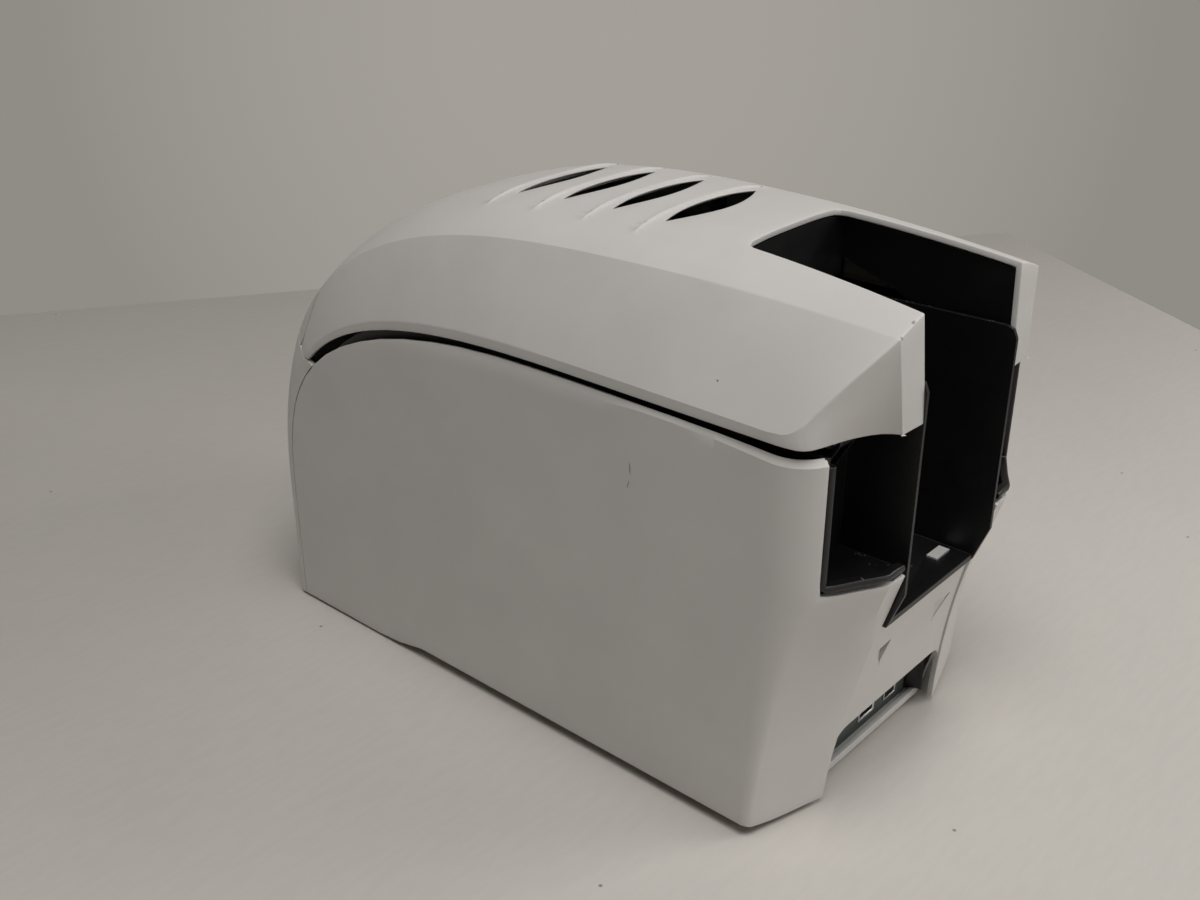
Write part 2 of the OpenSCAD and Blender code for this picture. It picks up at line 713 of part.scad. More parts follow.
module frame_tie_rods() {
    color(steel) for (p = rod_spots) {
        rod_x(-frame_half, frame_half, p[0], p[1], rod_r);
        rod_x(-frame_half - frame_t - 2, frame_half + frame_t + 2, p[0], p[1], rod_r - 1);
    }
}
module shaft_bushes() {
    color([0.75, 0.6, 0.3]) for (y = roller_ys) both_sides() difference() {
        union() {
            rod_x(frame_half - 0.6, frame_half + frame_t, y, axle_z, bush_r);
            rod_x(frame_half - 1.8, frame_half - 0.1, y, axle_z, bush_r + 1.2);
        }
        rod_x(frame_half - 5, frame_half + 5, y, axle_z, shaft_r + run_fit);
    }
}

// Rollers below the card path, each with a belt pulley on its left end
pulley_r = 5.5;
pulley_x = -frame_half - frame_t - 3;
pulley_w = 6;
shaft_end = frame_half + frame_t + 1.5;
module roller(y, r, half, tint) {
    z = axle_z;
    color(steel) {
        rod_x(pulley_x - pulley_w - 1, shaft_end, y, z, shaft_r);
        rod_x(pulley_x - pulley_w, pulley_x, y, z, pulley_r);
        rod_x(pulley_x - 0.01, pulley_x + 1, y, z, pulley_r + 1.6);
    }
    color(tint) rod_x(-half, half, y, z, r);
}
module feed_roller() { roller(feed_y, roller_r, 20, [0.2, 0.2, 0.22]); }
module cleaning_roller() { roller(clean_y, roller_r, 29, [0.35, 0.5, 0.62]); }
module transport_roller() { roller(drive_y, roller_r, 29, [0.2, 0.2, 0.22]); }
module exit_roller() { roller(exit_y, roller_r, 29, [0.2, 0.2, 0.22]); }
// Flank of an involute tooth, from the root circle to the tip circle
function inv_pt(base, a) = base * [cos(a) + a * PI / 180 * sin(a), sin(a) - a * PI / 180 * cos(a)];
function turn(p, a) = [p[0] * cos(a) - p[1] * sin(a), p[0] * sin(a) + p[1] * cos(a)];
module gear_2d(n) {
    pitch = n * gear_module / 2;
    base = pitch * cos(20);
    tip = pitch + 0.95 * gear_module;
    root = pitch - 1.2 * gear_module;
    at_pitch = tan(20) * 180 / PI - 20;
    half = 90 / n - 0.9 / pitch * 4 + at_pitch;
    tip_a = sqrt(pow(tip / base, 2) - 1) * 180 / PI;
    flank = [for (k = [0 : 0.25 : 1]) turn(inv_pt(base, k * tip_a), -half)];
    tooth = concat([turn([root, 0], -half)], flank);
    polygon([for (k = [0 : n - 1]) each [for (p = concat(tooth, back([for (p = tooth) [p[0], -p[1]]])))
        turn(p, k * 360 / n)]]);
}
gear_x = frame_half + frame_t + 2.5;
gear_w = 5;
module gear_x_axis(n, y, z, turn_by) {
    translate([gear_x, y, z]) rotate([90, 0, 90]) rotate([0, 0, turn_by])
        linear_extrude(gear_w) gear_2d(n);
}
module platen_roller() {
    roller(platen_y, roller_r, 30, [0.13, 0.13, 0.14]);
    color([0.9, 0.9, 0.86]) difference() {
        gear_x_axis(platen_n, platen_y, axle_z, 0);
        rod_x(gear_x - 1, gear_x + gear_w + 1, platen_y, axle_z, shaft_r - 0.01);
    }
    color(steel) rod_x(shaft_end - 0.01, gear_x + gear_w + 1, platen_y, axle_z, shaft_r);
}
module idler_gear() {
    color([0.9, 0.9, 0.86]) difference() {
        gear_x_axis(idler_n, platen_y, idler_gear_z, idler_turn);
        rod_x(gear_x - 1, gear_x + gear_w + 1, platen_y, idler_gear_z, pin_r + 0.5 + run_fit);
    }
}
module idler_stud() {
    color(steel) {
        rod_x(frame_half, frame_half + frame_t + 0.2, platen_y, idler_gear_z, pin_r);
        rod_x(frame_half + frame_t, gear_x - 0.3, platen_y, idler_gear_z, pin_r + 2);
        rod_x(gear_x - 0.4, gear_x + gear_w + 0.4, platen_y, idler_gear_z, pin_r + 0.5);
        rod_x(gear_x + gear_w + 0.3, gear_x + gear_w + 1.3, platen_y, idler_gear_z, pin_r + 2);
    }
}
// Turn of a gear of n teeth that meshes at angle a with one of m teeth turned by b
function mesh_turn(a, m, n, b) = a + 180 + 180 / n - (b - a) * m / n;
idler_turn = mesh_turn(270, platen_n, idler_n, 0);
module motor_pinion() {
    color([0.8, 0.68, 0.35]) {
        gear_x_axis(pinion_n, motor_y, motor_z, mesh_turn(315, idler_n, pinion_n, idler_turn));
        rod_x(frame_half - 4.7, gear_x + 0.1, motor_y, motor_z, 2.5);
    }
}
motor_half = 21;
module drive_motor() {
    x1 = frame_half - 0.1;
    color([0.15, 0.15, 0.16]) {
        translate([x1 - 34, motor_y - motor_half, motor_z - motor_half]) cube([26, 2 * motor_half, 2 * motor_half]);
    }
    color(steel) {
        for (x = [x1 - 40, x1 - 8.01]) translate([x, motor_y - motor_half, motor_z - motor_half]) difference() {
            cube([x > x1 - 20 ? 8 : 6.1, 2 * motor_half, 2 * motor_half]);
            translate([x > x1 - 20 ? 3 : -1, motor_half, motor_half]) rotate([0, 90, 0])
                cylinder(h = 8, r = 6, $fn = 48);
        }
        difference() {
            rod_x(x1 - 0.2, frame_half + frame_t, motor_y, motor_z, 11);
            rod_x(x1 - 8, frame_half + 5, motor_y, motor_z, 6);
        }
    }
}
belt_t = 1.2;
module belt_loop(r) {
    y0 = exit_y;
    y1 = feed_y;
    for (y = [y0, y1]) translate([y, axle_z]) circle(r, $fn = 64);
    translate([y0, axle_z - r]) square([y1 - y0, 2 * r]);
}
module drive_belt() {
    r = pulley_r + run_fit;
    color([0.1, 0.1, 0.1]) across(pulley_x - pulley_w + 0.5, pulley_x - 0.5) difference() {
        belt_loop(r + belt_t);
        belt_loop(r);
    }
}
// Upper rollers that press the card down
module pinch_idler(y) {
    color([0.25, 0.25, 0.27]) difference() {
        union() {
            rod_x(-20, 20, y, idler_z, 3.6);
            for (x = [-18, 8]) rod_x(x, x + 10, y, idler_z, idler_r);
        }
        rod_x(-21, 21, y, idler_z, 2 + run_fit);
    }
}
module clean_idler() { pinch_idler(clean_y); }
module drive_idler() { pinch_idler(drive_y); }
module exit_idler() { pinch_idler(exit_y); }
module idler_axles() {
    color(steel) for (y = idler_ys) {
        rod_x(-frame_half - frame_t - 1, frame_half + frame_t + 1, y, idler_z, 2);
        both_sides() rod_x(frame_half + frame_t + 0.3, frame_half + frame_t + 1, y, idler_z, 3);
    }
}

// Ribbon rolls on their cores, and the film between them under the print head
module spool(y, r) {
    color([0.13, 0.14, 0.2]) rod_x(-ribbon_w / 2, ribbon_w / 2, y, spool_z, r);
    color([0.85, 0.85, 0.83]) {
        rod_x(-frame_half - frame_t - 1, frame_half + frame_t + 1, y, spool_z, 4);
        both_sides() rod_x(ribbon_w / 2 - 0.01, ribbon_w / 2 + 6, y, spool_z, 7);
        both_sides() rod_x(frame_half - 3, frame_half - 1, y, spool_z, 10);
    }
}
module ribbon_supply() { spool(supply_y, supply_r); }
module ribbon_takeup() {
    spool(takeup_y, takeup_r);
    color([0.9, 0.9, 0.86]) gear_x_axis(takeup_n, takeup_y, spool_z, 0);
    color([0.9, 0.9, 0.86]) rod_x(frame_half + frame_t + 0.9, gear_x + 0.1, takeup_y, spool_z, 4);
}
film_t = 0.3;
head_low = path_z + 1.2;
film_z = head_low - 0.8;
module ribbon_web() {
    left = takeup_y + takeup_r + film_t + 0.5;
    right = supply_y - supply_r - film_t - 0.5;
    color([0.2, 0.2, 0.3]) across(-ribbon_w / 2 + 0.5, ribbon_w / 2 - 0.5) polygon([
        [left, spool_z], [left, spool_z - 6], [platen_y - 11, film_z], [platen_y + 11, film_z],
        [right, spool_z - 6], [right, spool_z], [right - film_t, spool_z], [right - film_t, spool_z - 6],
        [platen_y + 11 - 0.1, film_z + film_t], [platen_y - 11 + 0.1, film_z + film_t],
        [left + film_t, spool_z - 6], [left + film_t, spool_z]]);
}
module takeup_motor() {
    x1 = gear_x + gear_w + 1.5;
    color(steel) rod_x(x1, x1 + 22, small_y, small_z, 9);
    // Bracket back to the frame plate
    color(steel) translate([frame_half + frame_t, small_y - 24, small_z - 16])
        cube([x1 - frame_half - frame_t, 3, 26]);
    color(steel) difference() {
        translate([x1 - 1.4, small_y - 24, small_z - 16]) cube([1.5, 33, 26]);
        rod_x(x1 - 5, x1 + 0.05, small_y, small_z, 2.2);
    }
}
module takeup_pinion() {
    color([0.8, 0.68, 0.35]) {
        gear_x_axis(small_n, small_y, small_z, mesh_turn(225, takeup_n, small_n, 0));
        rod_x(gear_x + gear_w - 0.1, gear_x + gear_w + 1.3, small_y, small_z, 1.5);
    }
}

// Black inner liner of the cover: walls of the cutout, a baffle under the louvres and the front apron
liner_t = 1.5;
baffle_z = crown_h - 28;
apron_y = plate_front + 12;
knuckle_in = ear_in + ear_t + 0.4;
knuckle_out = ear_out - ear_t - 0.4;
keeper_z = latch_z + 20;
module under_cover(low_z) {
    intersection() {
        children();
        cover_block(cover_wall + fit, low_z, -5);
    }
}
module cover_liner() {
    wall_x = cutout_half + 0.4;
    lift = side_h + 7;
    color(black) under_cover(150) union() {
        // Side walls and front wall of the cutout
        both_sides() across(wall_x, wall_x + liner_t) polygon([[cutout_front - 2, baffle_z],
            [cutout_front - 2, crown_h], [rear_y - 6, crown_h], [rear_y - 6, lift],
            [hinge_y - 12, lift], [cutout_front + 30, baffle_z - 10]]);
        translate([-wall_x, cutout_front - 2, baffle_z - 9]) cube([2 * wall_x, liner_t, 40]);
        // Baffle under the louvres, the apron in front of it and its posts
        across(-50, 50) polygon([[cutout_front - 1, baffle_z], [cutout_front - 1, baffle_z + liner_t],
            [-70, baffle_z + liner_t], [apron_y, baffle_z - 24], [apron_y, baffle_z - 46],
            [apron_y + liner_t, baffle_z - 46], [apron_y + liner_t, baffle_z - 25], [-70, baffle_z]]);
        for (x = [-44, 44], y = [-60, 20, 80]) translate([x, y, baffle_z]) cylinder(h = 40, r = 4, $fn = 32);
        // Side rails of the baffle
        both_sides() across(48.5, 50) polygon([[-70, baffle_z - 12], [-70, baffle_z + 1],
            [cutout_front - 1, baffle_z + 1], [cutout_front - 1, baffle_z - 12]]);
    }
}
module hinge_knuckles() {
    color(black) both_sides() under_cover(150) difference() {
        across(knuckle_in, knuckle_out) union() {
            translate([hinge_y, hinge_z]) circle(5, $fn = 48);
            polygon([[hinge_y - 5, hinge_z], [hinge_y - 9, crown_h], [hinge_y + 2, crown_h],
                [hinge_y + 4.6, hinge_z + 2]]);
        }
        rod_x(knuckle_in - 1, knuckle_out + 1, hinge_y, hinge_z, pin_r + run_fit);
    }
}
module hinge_pins() {
    color(steel) both_sides() {
        rod_x(ear_in - 1.5, ear_out + 0.3, hinge_y, hinge_z, pin_r);
        rod_x(ear_out + 0.2, ear_out + 1.8, hinge_y, hinge_z, pin_r + 1.4);
    }
}

// Print head, sprung on a carrier that hangs from the baffle
head_half = 33;
module head_carrier() {
    color([0.2, 0.2, 0.22]) {
        across(-head_half + 4, head_half - 4) polygon([[platen_y - 7, head_low + 34],
            [platen_y + 9, head_low + 34], [platen_y + 13, baffle_z - 6], [platen_y + 22, baffle_z - 0.3],
            [platen_y - 18, baffle_z - 0.3], [platen_y - 10, baffle_z - 6]]);
        // Guide pins for the head
        for (x = [-20, 20]) translate([x, platen_y + 1, head_low + 14]) cylinder(h = 21, r = 2, $fn = 32);
    }
}
module print_head() {
    color([0.66, 0.67, 0.69]) difference() {
        across(-head_half, head_half) polygon([[platen_y - 3, head_low], [platen_y + 3, head_low],
            [platen_y + 7, head_low + 5], [platen_y + 7, head_low + 24], [platen_y - 6, head_low + 24],
            [platen_y - 6, head_low + 4]]);
        for (x = [-20, 20]) translate([x, platen_y + 1, head_low + 12])
            cylinder(h = 14, r = 2 + run_fit, $fn = 32);
        // Cooling grooves in the rear face
        for (z = [9 : 4 : 21]) translate([-head_half - 1, platen_y + 4.5, head_low + z])
            cube([2 * head_half + 2, 4, 1.8]);
    }
    color([0.85, 0.83, 0.75]) translate([-card_w / 2, platen_y - 1.5, head_low - 0.4])
        cube([card_w, 3, 0.5]);
}

// Latch of the cover: the release button tips the hook off the keeper
hook_half = 6;
module latch_keeper() {
    color(steel) {
        translate([-12, apron_y + liner_t, keeper_z - 8]) cube([24, liner_t, 40]);
        translate([-12, latch_y + 3.4, keeper_z - 4]) cube([24, apron_y + liner_t - latch_y - 3.3, 2.5]);
    }
}
module latch_hook() {
    color([0.3, 0.3, 0.32]) difference() {
        across(-hook_half, hook_half) union() {
            translate([latch_y, latch_z]) circle(4.5, $fn = 48);
            polygon([[latch_y - 2.5, latch_z - 14], [latch_y + 1, latch_z - 14], [latch_y + 2.6, latch_z],
                [latch_y + 2.6, keeper_z - 1], [latch_y + 7, keeper_z - 1], [latch_y + 7, keeper_z],
                [latch_y + 2.6, keeper_z + 4], [latch_y - 2.5, keeper_z + 4]]);
        }
        rod_x(-hook_half - 1, hook_half + 1, latch_y, latch_z, pin_r + run_fit);
    }
}
module latch_pin() {
    color(steel) {
        rod_x(-frame_half - frame_t - 1, frame_half + frame_t + 1, latch_y, latch_z, pin_r);
        for (x = [-hook_half - 2.3, hook_half + 0.3]) rod_x(x, x + 2, latch_y, latch_z, pin_r + 1.5);
    }
}
module push_button(x, z, r, stem_end, y0) {
    translate([x, 0, z]) rotate([-90, 0, 0]) translate([0, 0, y0]) {
        cylinder(h = 7, r1 = r - 0.6, r2 = r, $fn = 64);
        translate([0, 0, 6.9]) cylinder(h = 1.5, r = r + 1.4, $fn = 64);
        translate([0, 0, 8]) cylinder(h = stem_end - y0 - 12, r = r * 0.5, $fn = 48);
        translate([0, 0, 8]) cylinder(h = stem_end - y0 - 8, r = 1.5, $fn = 48);
    }
}
release_y = front_y + 2.6;
module release_button() {
    color([0.35, 0.45, 0.6]) push_button(0, release_z, release_r, latch_y - 2.8, release_y);
}
module power_button() {
    color([0.8, 0.81, 0.82]) push_button(power_x, power_z, power_r, front_y + 22, front_y + 0.6);
}

// Small fan over the air slots of the tray
fan_y = -40;
fan_half = 20;
fan_h = 10;
module fan_frame() {
    color([0.14, 0.14, 0.15]) difference() {
        translate([-fan_half, fan_y - fan_half, base_z + tray_floor]) cube([2 * fan_half, 2 * fan_half, fan_h]);
        translate([0, fan_y, base_z]) cylinder(h = fan_h + 10, r = fan_half - 1.2, $fn = 64);
    }
    // Spider that holds the motor of the fan
    color([0.14, 0.14, 0.15]) {
        for (a = [45 : 90 : 315]) translate([0, fan_y, base_z + tray_floor]) rotate([0, 0, a])
            translate([8, -1, 0]) cube([fan_half - 9 + 0.5, 2, 1.5]);
        translate([0, fan_y, base_z + tray_floor]) cylinder(h = 1.5, r = 9, $fn = 48);
        translate([0, fan_y, base_z + tray_floor]) cylinder(h = 5, r = 1.5, $fn = 32);
    }
}
module cooling_fan() {
    z0 = base_z + tray_floor + 1.8;
    color([0.14, 0.14, 0.15]) difference() {
        union() {
            translate([0, fan_y, z0]) cylinder(h = fan_h - 2.4, r = 9, $fn = 48);
            for (a = [0 : 360 / 7 : 359]) translate([0, fan_y, z0 + 3.6]) rotate([0, 0, a]) rotate([35, 0, 0])
                translate([8, -0.6, -4]) cube([9.6, 1.2, 8]);
        }
        translate([0, fan_y, z0 - 1]) cylinder(h = 5, r = 1.5 + run_fit, $fn = 32);
        translate([-30, fan_y - 30, z0 - 20]) cube([60, 60, 20]);
        translate([-30, fan_y - 30, z0 + fan_h - 2.3]) cube([60, 60, 20]);
    }
}

// Screw heads on the feet of the frame plates
module housing_screws() {
    color(steel) for (x = [-frame_half + 5, frame_half - 5], y = [plate_front + 7, 41])
        translate([x, y, base_z + tray_floor + frame_t]) cylinder(h = 1.8, r = 2.6, $fn = 32);
}

base_tray();
rubber_feet();
side_panel_right();
side_panel_left();
rear_panel();
front_bezel();
output_hopper();
card_hopper();
side_shrouds();
cassette_catch();
port_plate();
network_socket();
usb_socket();
power_inlet();
main_board();
frame_plate_right();
frame_plate_left();
frame_tie_rods();
shaft_bushes();
feed_roller();
cleaning_roller();
platen_roller();
transport_roller();
exit_roller();
clean_idler();
drive_idler();
exit_idler();
idler_axles();
drive_motor();
motor_pinion();
idler_gear();
idler_stud();
drive_belt();
ribbon_supply();
ribbon_takeup();
ribbon_web();
takeup_motor();
takeup_pinion();
top_cover();
cover_fascia();
cover_liner();
hinge_pins();
hinge_knuckles();
head_carrier();
print_head();
display_window();
status_button();
power_button();
release_button();
latch_hook();
latch_pin();
latch_keeper();
housing_screws();
cooling_fan();
fan_frame();
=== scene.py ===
"""Desktop card printer: fine forms and finishes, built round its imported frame."""

import json
import math
from functools import cache

import bmesh
import bpy
from mathutils import Matrix, Vector


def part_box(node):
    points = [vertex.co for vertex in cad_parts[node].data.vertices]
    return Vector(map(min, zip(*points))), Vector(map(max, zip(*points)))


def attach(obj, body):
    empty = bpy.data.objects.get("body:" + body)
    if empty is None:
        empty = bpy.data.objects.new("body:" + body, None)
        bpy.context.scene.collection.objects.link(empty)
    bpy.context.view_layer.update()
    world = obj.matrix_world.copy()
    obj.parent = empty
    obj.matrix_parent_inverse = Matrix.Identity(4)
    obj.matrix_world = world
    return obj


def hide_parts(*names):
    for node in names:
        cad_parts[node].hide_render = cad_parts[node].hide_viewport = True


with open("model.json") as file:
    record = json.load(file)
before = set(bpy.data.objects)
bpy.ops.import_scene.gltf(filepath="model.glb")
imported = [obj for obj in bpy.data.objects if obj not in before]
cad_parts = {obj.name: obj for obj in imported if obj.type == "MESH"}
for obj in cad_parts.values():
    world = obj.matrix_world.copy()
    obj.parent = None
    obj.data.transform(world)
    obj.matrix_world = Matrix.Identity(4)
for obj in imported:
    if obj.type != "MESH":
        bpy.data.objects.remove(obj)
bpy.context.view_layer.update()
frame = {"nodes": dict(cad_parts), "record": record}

bl_info = {
    "name": "Card printer finish",
    "version": (1, 0, 0),
    "blender": (4, 5, 0),
    "location": "3D View > Sidebar > Card printer",
    "description": "Moulded shells, black inner mouldings and finishes of a desktop card printer",
    "category": "Object",
}

MM = 0.001
PANEL_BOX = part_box("side_panel_right")


class ShellSizes(bpy.types.PropertyGroup):
    """Sizes of the moulded housing."""

    half_width: bpy.props.FloatProperty(
        name="Half width", description="From the middle to the flat side", default=PANEL_BOX[1].x, unit="LENGTH")
    cover_wall: bpy.props.FloatProperty(
        name="Cover wall", description="Thickness of the cover", default=0.0031, unit="LENGTH")
    panel_wall: bpy.props.FloatProperty(
        name="Panel wall", description="Thickness of the panels", default=0.003, unit="LENGTH")
    edge: bpy.props.FloatProperty(
        name="Edge radius", description="Rounding of a moulded edge", default=0.0007, unit="LENGTH")
    lip_rise: bpy.props.FloatProperty(
        name="Lip rise", description="Height of a louvre lip over the crown", default=0.00135, unit="LENGTH")


class ShellColours(bpy.types.PropertyGroup):
    """Colours of the mouldings, as sRGB hex values."""

    white: bpy.props.StringProperty(name="White", description="Moulded shells", default="D6D4D1")
    black: bpy.props.StringProperty(name="Black", description="Inner mouldings", default="08080A")
    rubber: bpy.props.StringProperty(name="Rubber", description="Rollers, belt and feet", default="1B1B1D")
    floor: bpy.props.StringProperty(name="Floor", description="Table top", default="D2CEC8")
    wall: bpy.props.StringProperty(name="Wall", description="Backdrop", default="BDB8B1")


def linear(text):
    """Linear colour of an sRGB hex value."""
    parts = [int(text[k:k + 2], 16) / 255 for k in (0, 2, 4)]
    return tuple(p / 12.92 if p <= 0.04045 else ((p + 0.055) / 1.055) ** 2.4 for p in parts) + (1.0,)


def add_node(tree, kind, inputs=None, **settings):
    """Adds a shader node of that kind; an input is set to a value, or linked if it is given a socket."""
    node = tree.nodes.new("ShaderNode" + kind)
    for key, value in settings.items():
        setattr(node, key, value)
    for key, value in (inputs or {}).items():
        if isinstance(value, bpy.types.NodeSocket):
            tree.links.new(value, node.inputs[key])
        else:
            node.inputs[key].default_value = value
    return node


def new_finish(name, **values):
    """A material with a plain shader, and its node tree, shader and object coordinates."""
    mat = bpy.data.materials.new(name)
    mat.use_nodes = True
    tree = mat.node_tree
    shader = tree.nodes["Principled BSDF"]
    for key, value in values.items():
        shader.inputs[key.replace("_", " ")].default_value = value
    place = add_node(tree, "TexCoord").outputs["Object"]
    return mat, tree, shader, place


def mottle(tree, place, scale, dark, pale, low=0.35, high=0.65, detail=3.0):
    """Colour that drifts between two values over the surface; scale is drifts per metre."""
    noise = add_node(tree, "TexNoise", {"Vector": place, "Scale": scale, "Detail": detail})
    ramp = add_node(tree, "ValToRGB", {"Fac": noise.outputs["Fac"]})
    for stop, position, colour in zip(ramp.color_ramp.elements, (low, high), (dark, pale)):
        stop.position, stop.color = position, colour
    return ramp.outputs["Color"]


def grain(tree, place, shader, spacing, depth):
    """Fine bump of that spacing and depth in metres."""
    noise = add_node(tree, "TexNoise", {"Vector": place, "Scale": 1 / spacing, "Detail": 2.0})
    bump = add_node(tree, "Bump", {"Height": noise.outputs["Fac"], "Distance": depth})
    tree.links.new(bump.outputs["Normal"], shader.inputs["Normal"])


def shade(text, factor):
    """Linear colour of a hex value, made lighter or darker."""
    r, g, b, a = linear(text)
    return (r * factor, g * factor, b * factor, a)


def settled_dust(tree, place, colour):
    """The colour with pale dust specks in drifts on faces that look up."""
    # Specks 0.8 mm wide and 2.4 mm apart are coarser than real dust, so that they show; a drift is 22 mm wide
    specks_per_metre, drifts_per_metre = 420.0, 45.0
    cells = add_node(tree, "TexVoronoi", {"Vector": place, "Scale": specks_per_metre})
    dot = add_node(tree, "Math", {0: cells.outputs["Distance"], 1: 0.17}, operation="LESS_THAN")
    drift = add_node(tree, "TexNoise", {"Vector": place, "Scale": drifts_per_metre, "Detail": 2.0})
    thick = add_node(tree, "Math", {0: drift.outputs["Fac"], 1: 0.56}, operation="GREATER_THAN")
    facing = add_node(tree, "SeparateXYZ", {"Vector": add_node(tree, "TexCoord").outputs["Normal"]})
    up = add_node(tree, "Math", {0: facing.outputs["Z"], 1: 0.7}, operation="GREATER_THAN")
    share = dot.outputs["Value"]
    for limit in (thick, up):
        share = add_node(tree, "Math", {0: share, 1: limit.outputs["Value"]}, operation="MULTIPLY").outputs["Value"]
    return add_node(tree, "MixRGB", {"Fac": share, "Color1": colour, "Color2": linear("77695C")}).outputs["Color"]


def handled(tree, place, colour, marks):
    """The colour with worn marks: each has a middle, a turn, half sizes and its own colour."""
    # A mark is even as far as 0.7 of its size, then fades out
    for middle, turn, half, text in marks:
        local = add_node(tree, "Mapping", {"Vector": place, "Location": [c * MM for c in middle],
                                           "Rotation": [math.radians(a) for a in turn],
                                           "Scale": [h * MM for h in half]}, vector_type="TEXTURE")
        reach = add_node(tree, "VectorMath", {0: local.outputs["Vector"]}, operation="LENGTH")
        inside = add_node(tree, "MapRange", {"Value": reach.outputs["Value"], "From Min": 0.7, "From Max": 1.0,
                                             "To Min": 0.8, "To Max": 0.0})
        colour = add_node(tree, "MixRGB", {"Fac": inside.outputs["Result"], "Color1": colour,
                                           "Color2": linear(text)}).outputs["Color"]
    return colour


# Worn marks in millimetres and degrees: scratches on the right side, specks on the shoulder, chips at the rear
MARKS = [((102.5, 82.0, 176.0), (4, 0, 0), (0.5, 0.35, 3.6), "4A4641"),
         ((102.5, 81.0, 167.5), (-16, 0, 0), (0.5, 0.3, 2.6), "5A554F"),
         ((96.4, -80.0, 235.2), (0, 0, 0), (0.7, 0.7, 0.7), "4A4641"),
         ((94.6, 124.0, 229.2), (0, 0, 0), (0.6, 0.6, 0.6), "5A554F"),
         ((53.0, 191.6, 260.6), (0, 35, 0), (1.6, 0.9, 0.6), "8A857E"),
         ((62.6, 192.2, 256.6), (0, 20, 0), (0.7, 0.7, 1.3), "8A857E")]


def moulded_abs(name, text, roughness=0.42, spacing=0.0009, depth=0.00003, dust=False, marks=()):
    """Injection moulded plastic: a satin sheen broken by a fine spark-eroded grain, and faint handling dirt."""
    # Clouds of dirt are 45 mm wide and rubbed places 17 mm; the real grain is 0.2 mm, too fine to show
    clouds_per_metre, rubs_per_metre = 22.0, 60.0
    mat, tree, shader, place = new_finish(name, Roughness=roughness, IOR=1.53)
    colour = mottle(tree, place, clouds_per_metre, shade(text, 0.965), shade(text, 1.015))
    colour = handled(tree, place, colour, marks)
    if dust:
        colour = settled_dust(tree, place, colour)
    tree.links.new(colour, shader.inputs["Base Color"])
    rub = add_node(tree, "TexNoise", {"Vector": place, "Scale": rubs_per_metre, "Detail": 4.0})
    sheen = add_node(tree, "MapRange", {"Value": rub.outputs["Fac"], "To Min": roughness - 0.05,
                                        "To Max": roughness + 0.08})
    tree.links.new(sheen.outputs["Result"], shader.inputs["Roughness"])
    grain(tree, place, shader, spacing, depth)
    return mat


def ground_steel(name, text, roughness=0.28, along=(1.0, 60.0, 60.0)):
    """Metal drawn, ground or turned one way: fine lines stretch the highlight."""
    # Lines lie 25 mm apart before the stretch, so 0.4 mm apart across a ground rod
    lines_per_metre = 40.0
    mat, tree, shader, place = new_finish(name, Roughness=roughness, Metallic=1.0)
    shader.inputs["Base Color"].default_value = linear(text)
    lie = add_node(tree, "Mapping", {"Vector": place, "Scale": along})
    lines = add_node(tree, "TexNoise", {"Vector": lie.outputs["Vector"], "Scale": lines_per_metre, "Detail": 3.0})
    spread = add_node(tree, "MapRange", {"Value": lines.outputs["Fac"], "To Min": roughness - 0.08,
                                         "To Max": roughness + 0.12})
    tree.links.new(spread.outputs["Result"], shader.inputs["Roughness"])
    return mat


def rubber(name, text, roughness=0.75):
    """Ground rubber: dark, nearly without gloss, with a fine matte tooth."""
    # Worn and fresh places change every 11 mm; the tooth is 0.6 mm
    wear_per_metre, tooth, tooth_depth = 90.0, 0.0006, 0.00004
    mat, tree, shader, place = new_finish(name, Roughness=roughness, IOR=1.5)
    colour = mottle(tree, place, wear_per_metre, shade(text, 0.8), shade(text, 1.25))
    tree.links.new(colour, shader.inputs["Base Color"])
    grain(tree, place, shader, tooth, tooth_depth)
    return mat


def gloss_plastic(name, text, roughness=0.12):
    """Polished moulding under a thin lacquer: a clear highlight over an even colour with faint dust."""
    dust_per_metre = 300.0
    mat, tree, shader, place = new_finish(name, Roughness=roughness, IOR=1.49, Coat_Weight=0.4, Coat_Roughness=0.06)
    colour = mottle(tree, place, dust_per_metre, linear(text), shade(text, 1.12), 0.55, 0.75)
    tree.links.new(colour, shader.inputs["Base Color"])
    return mat


def solder_mask(name, text):
    """Circuit board: green lacquer over a grid of paler copper tracks, 6 mm apart."""
    mat, tree, shader, place = new_finish(name, Roughness=0.3, IOR=1.5)
    tracks = add_node(tree, "TexBrick", {"Vector": place, "Scale": 160.0, "Mortar Size": 0.03,
                                         "Color1": linear(text), "Color2": shade(text, 0.85),
                                         "Mortar": shade(text, 1.9)})
    tree.links.new(tracks.outputs["Color"], shader.inputs["Base Color"])
    return mat


FINISHES = {}


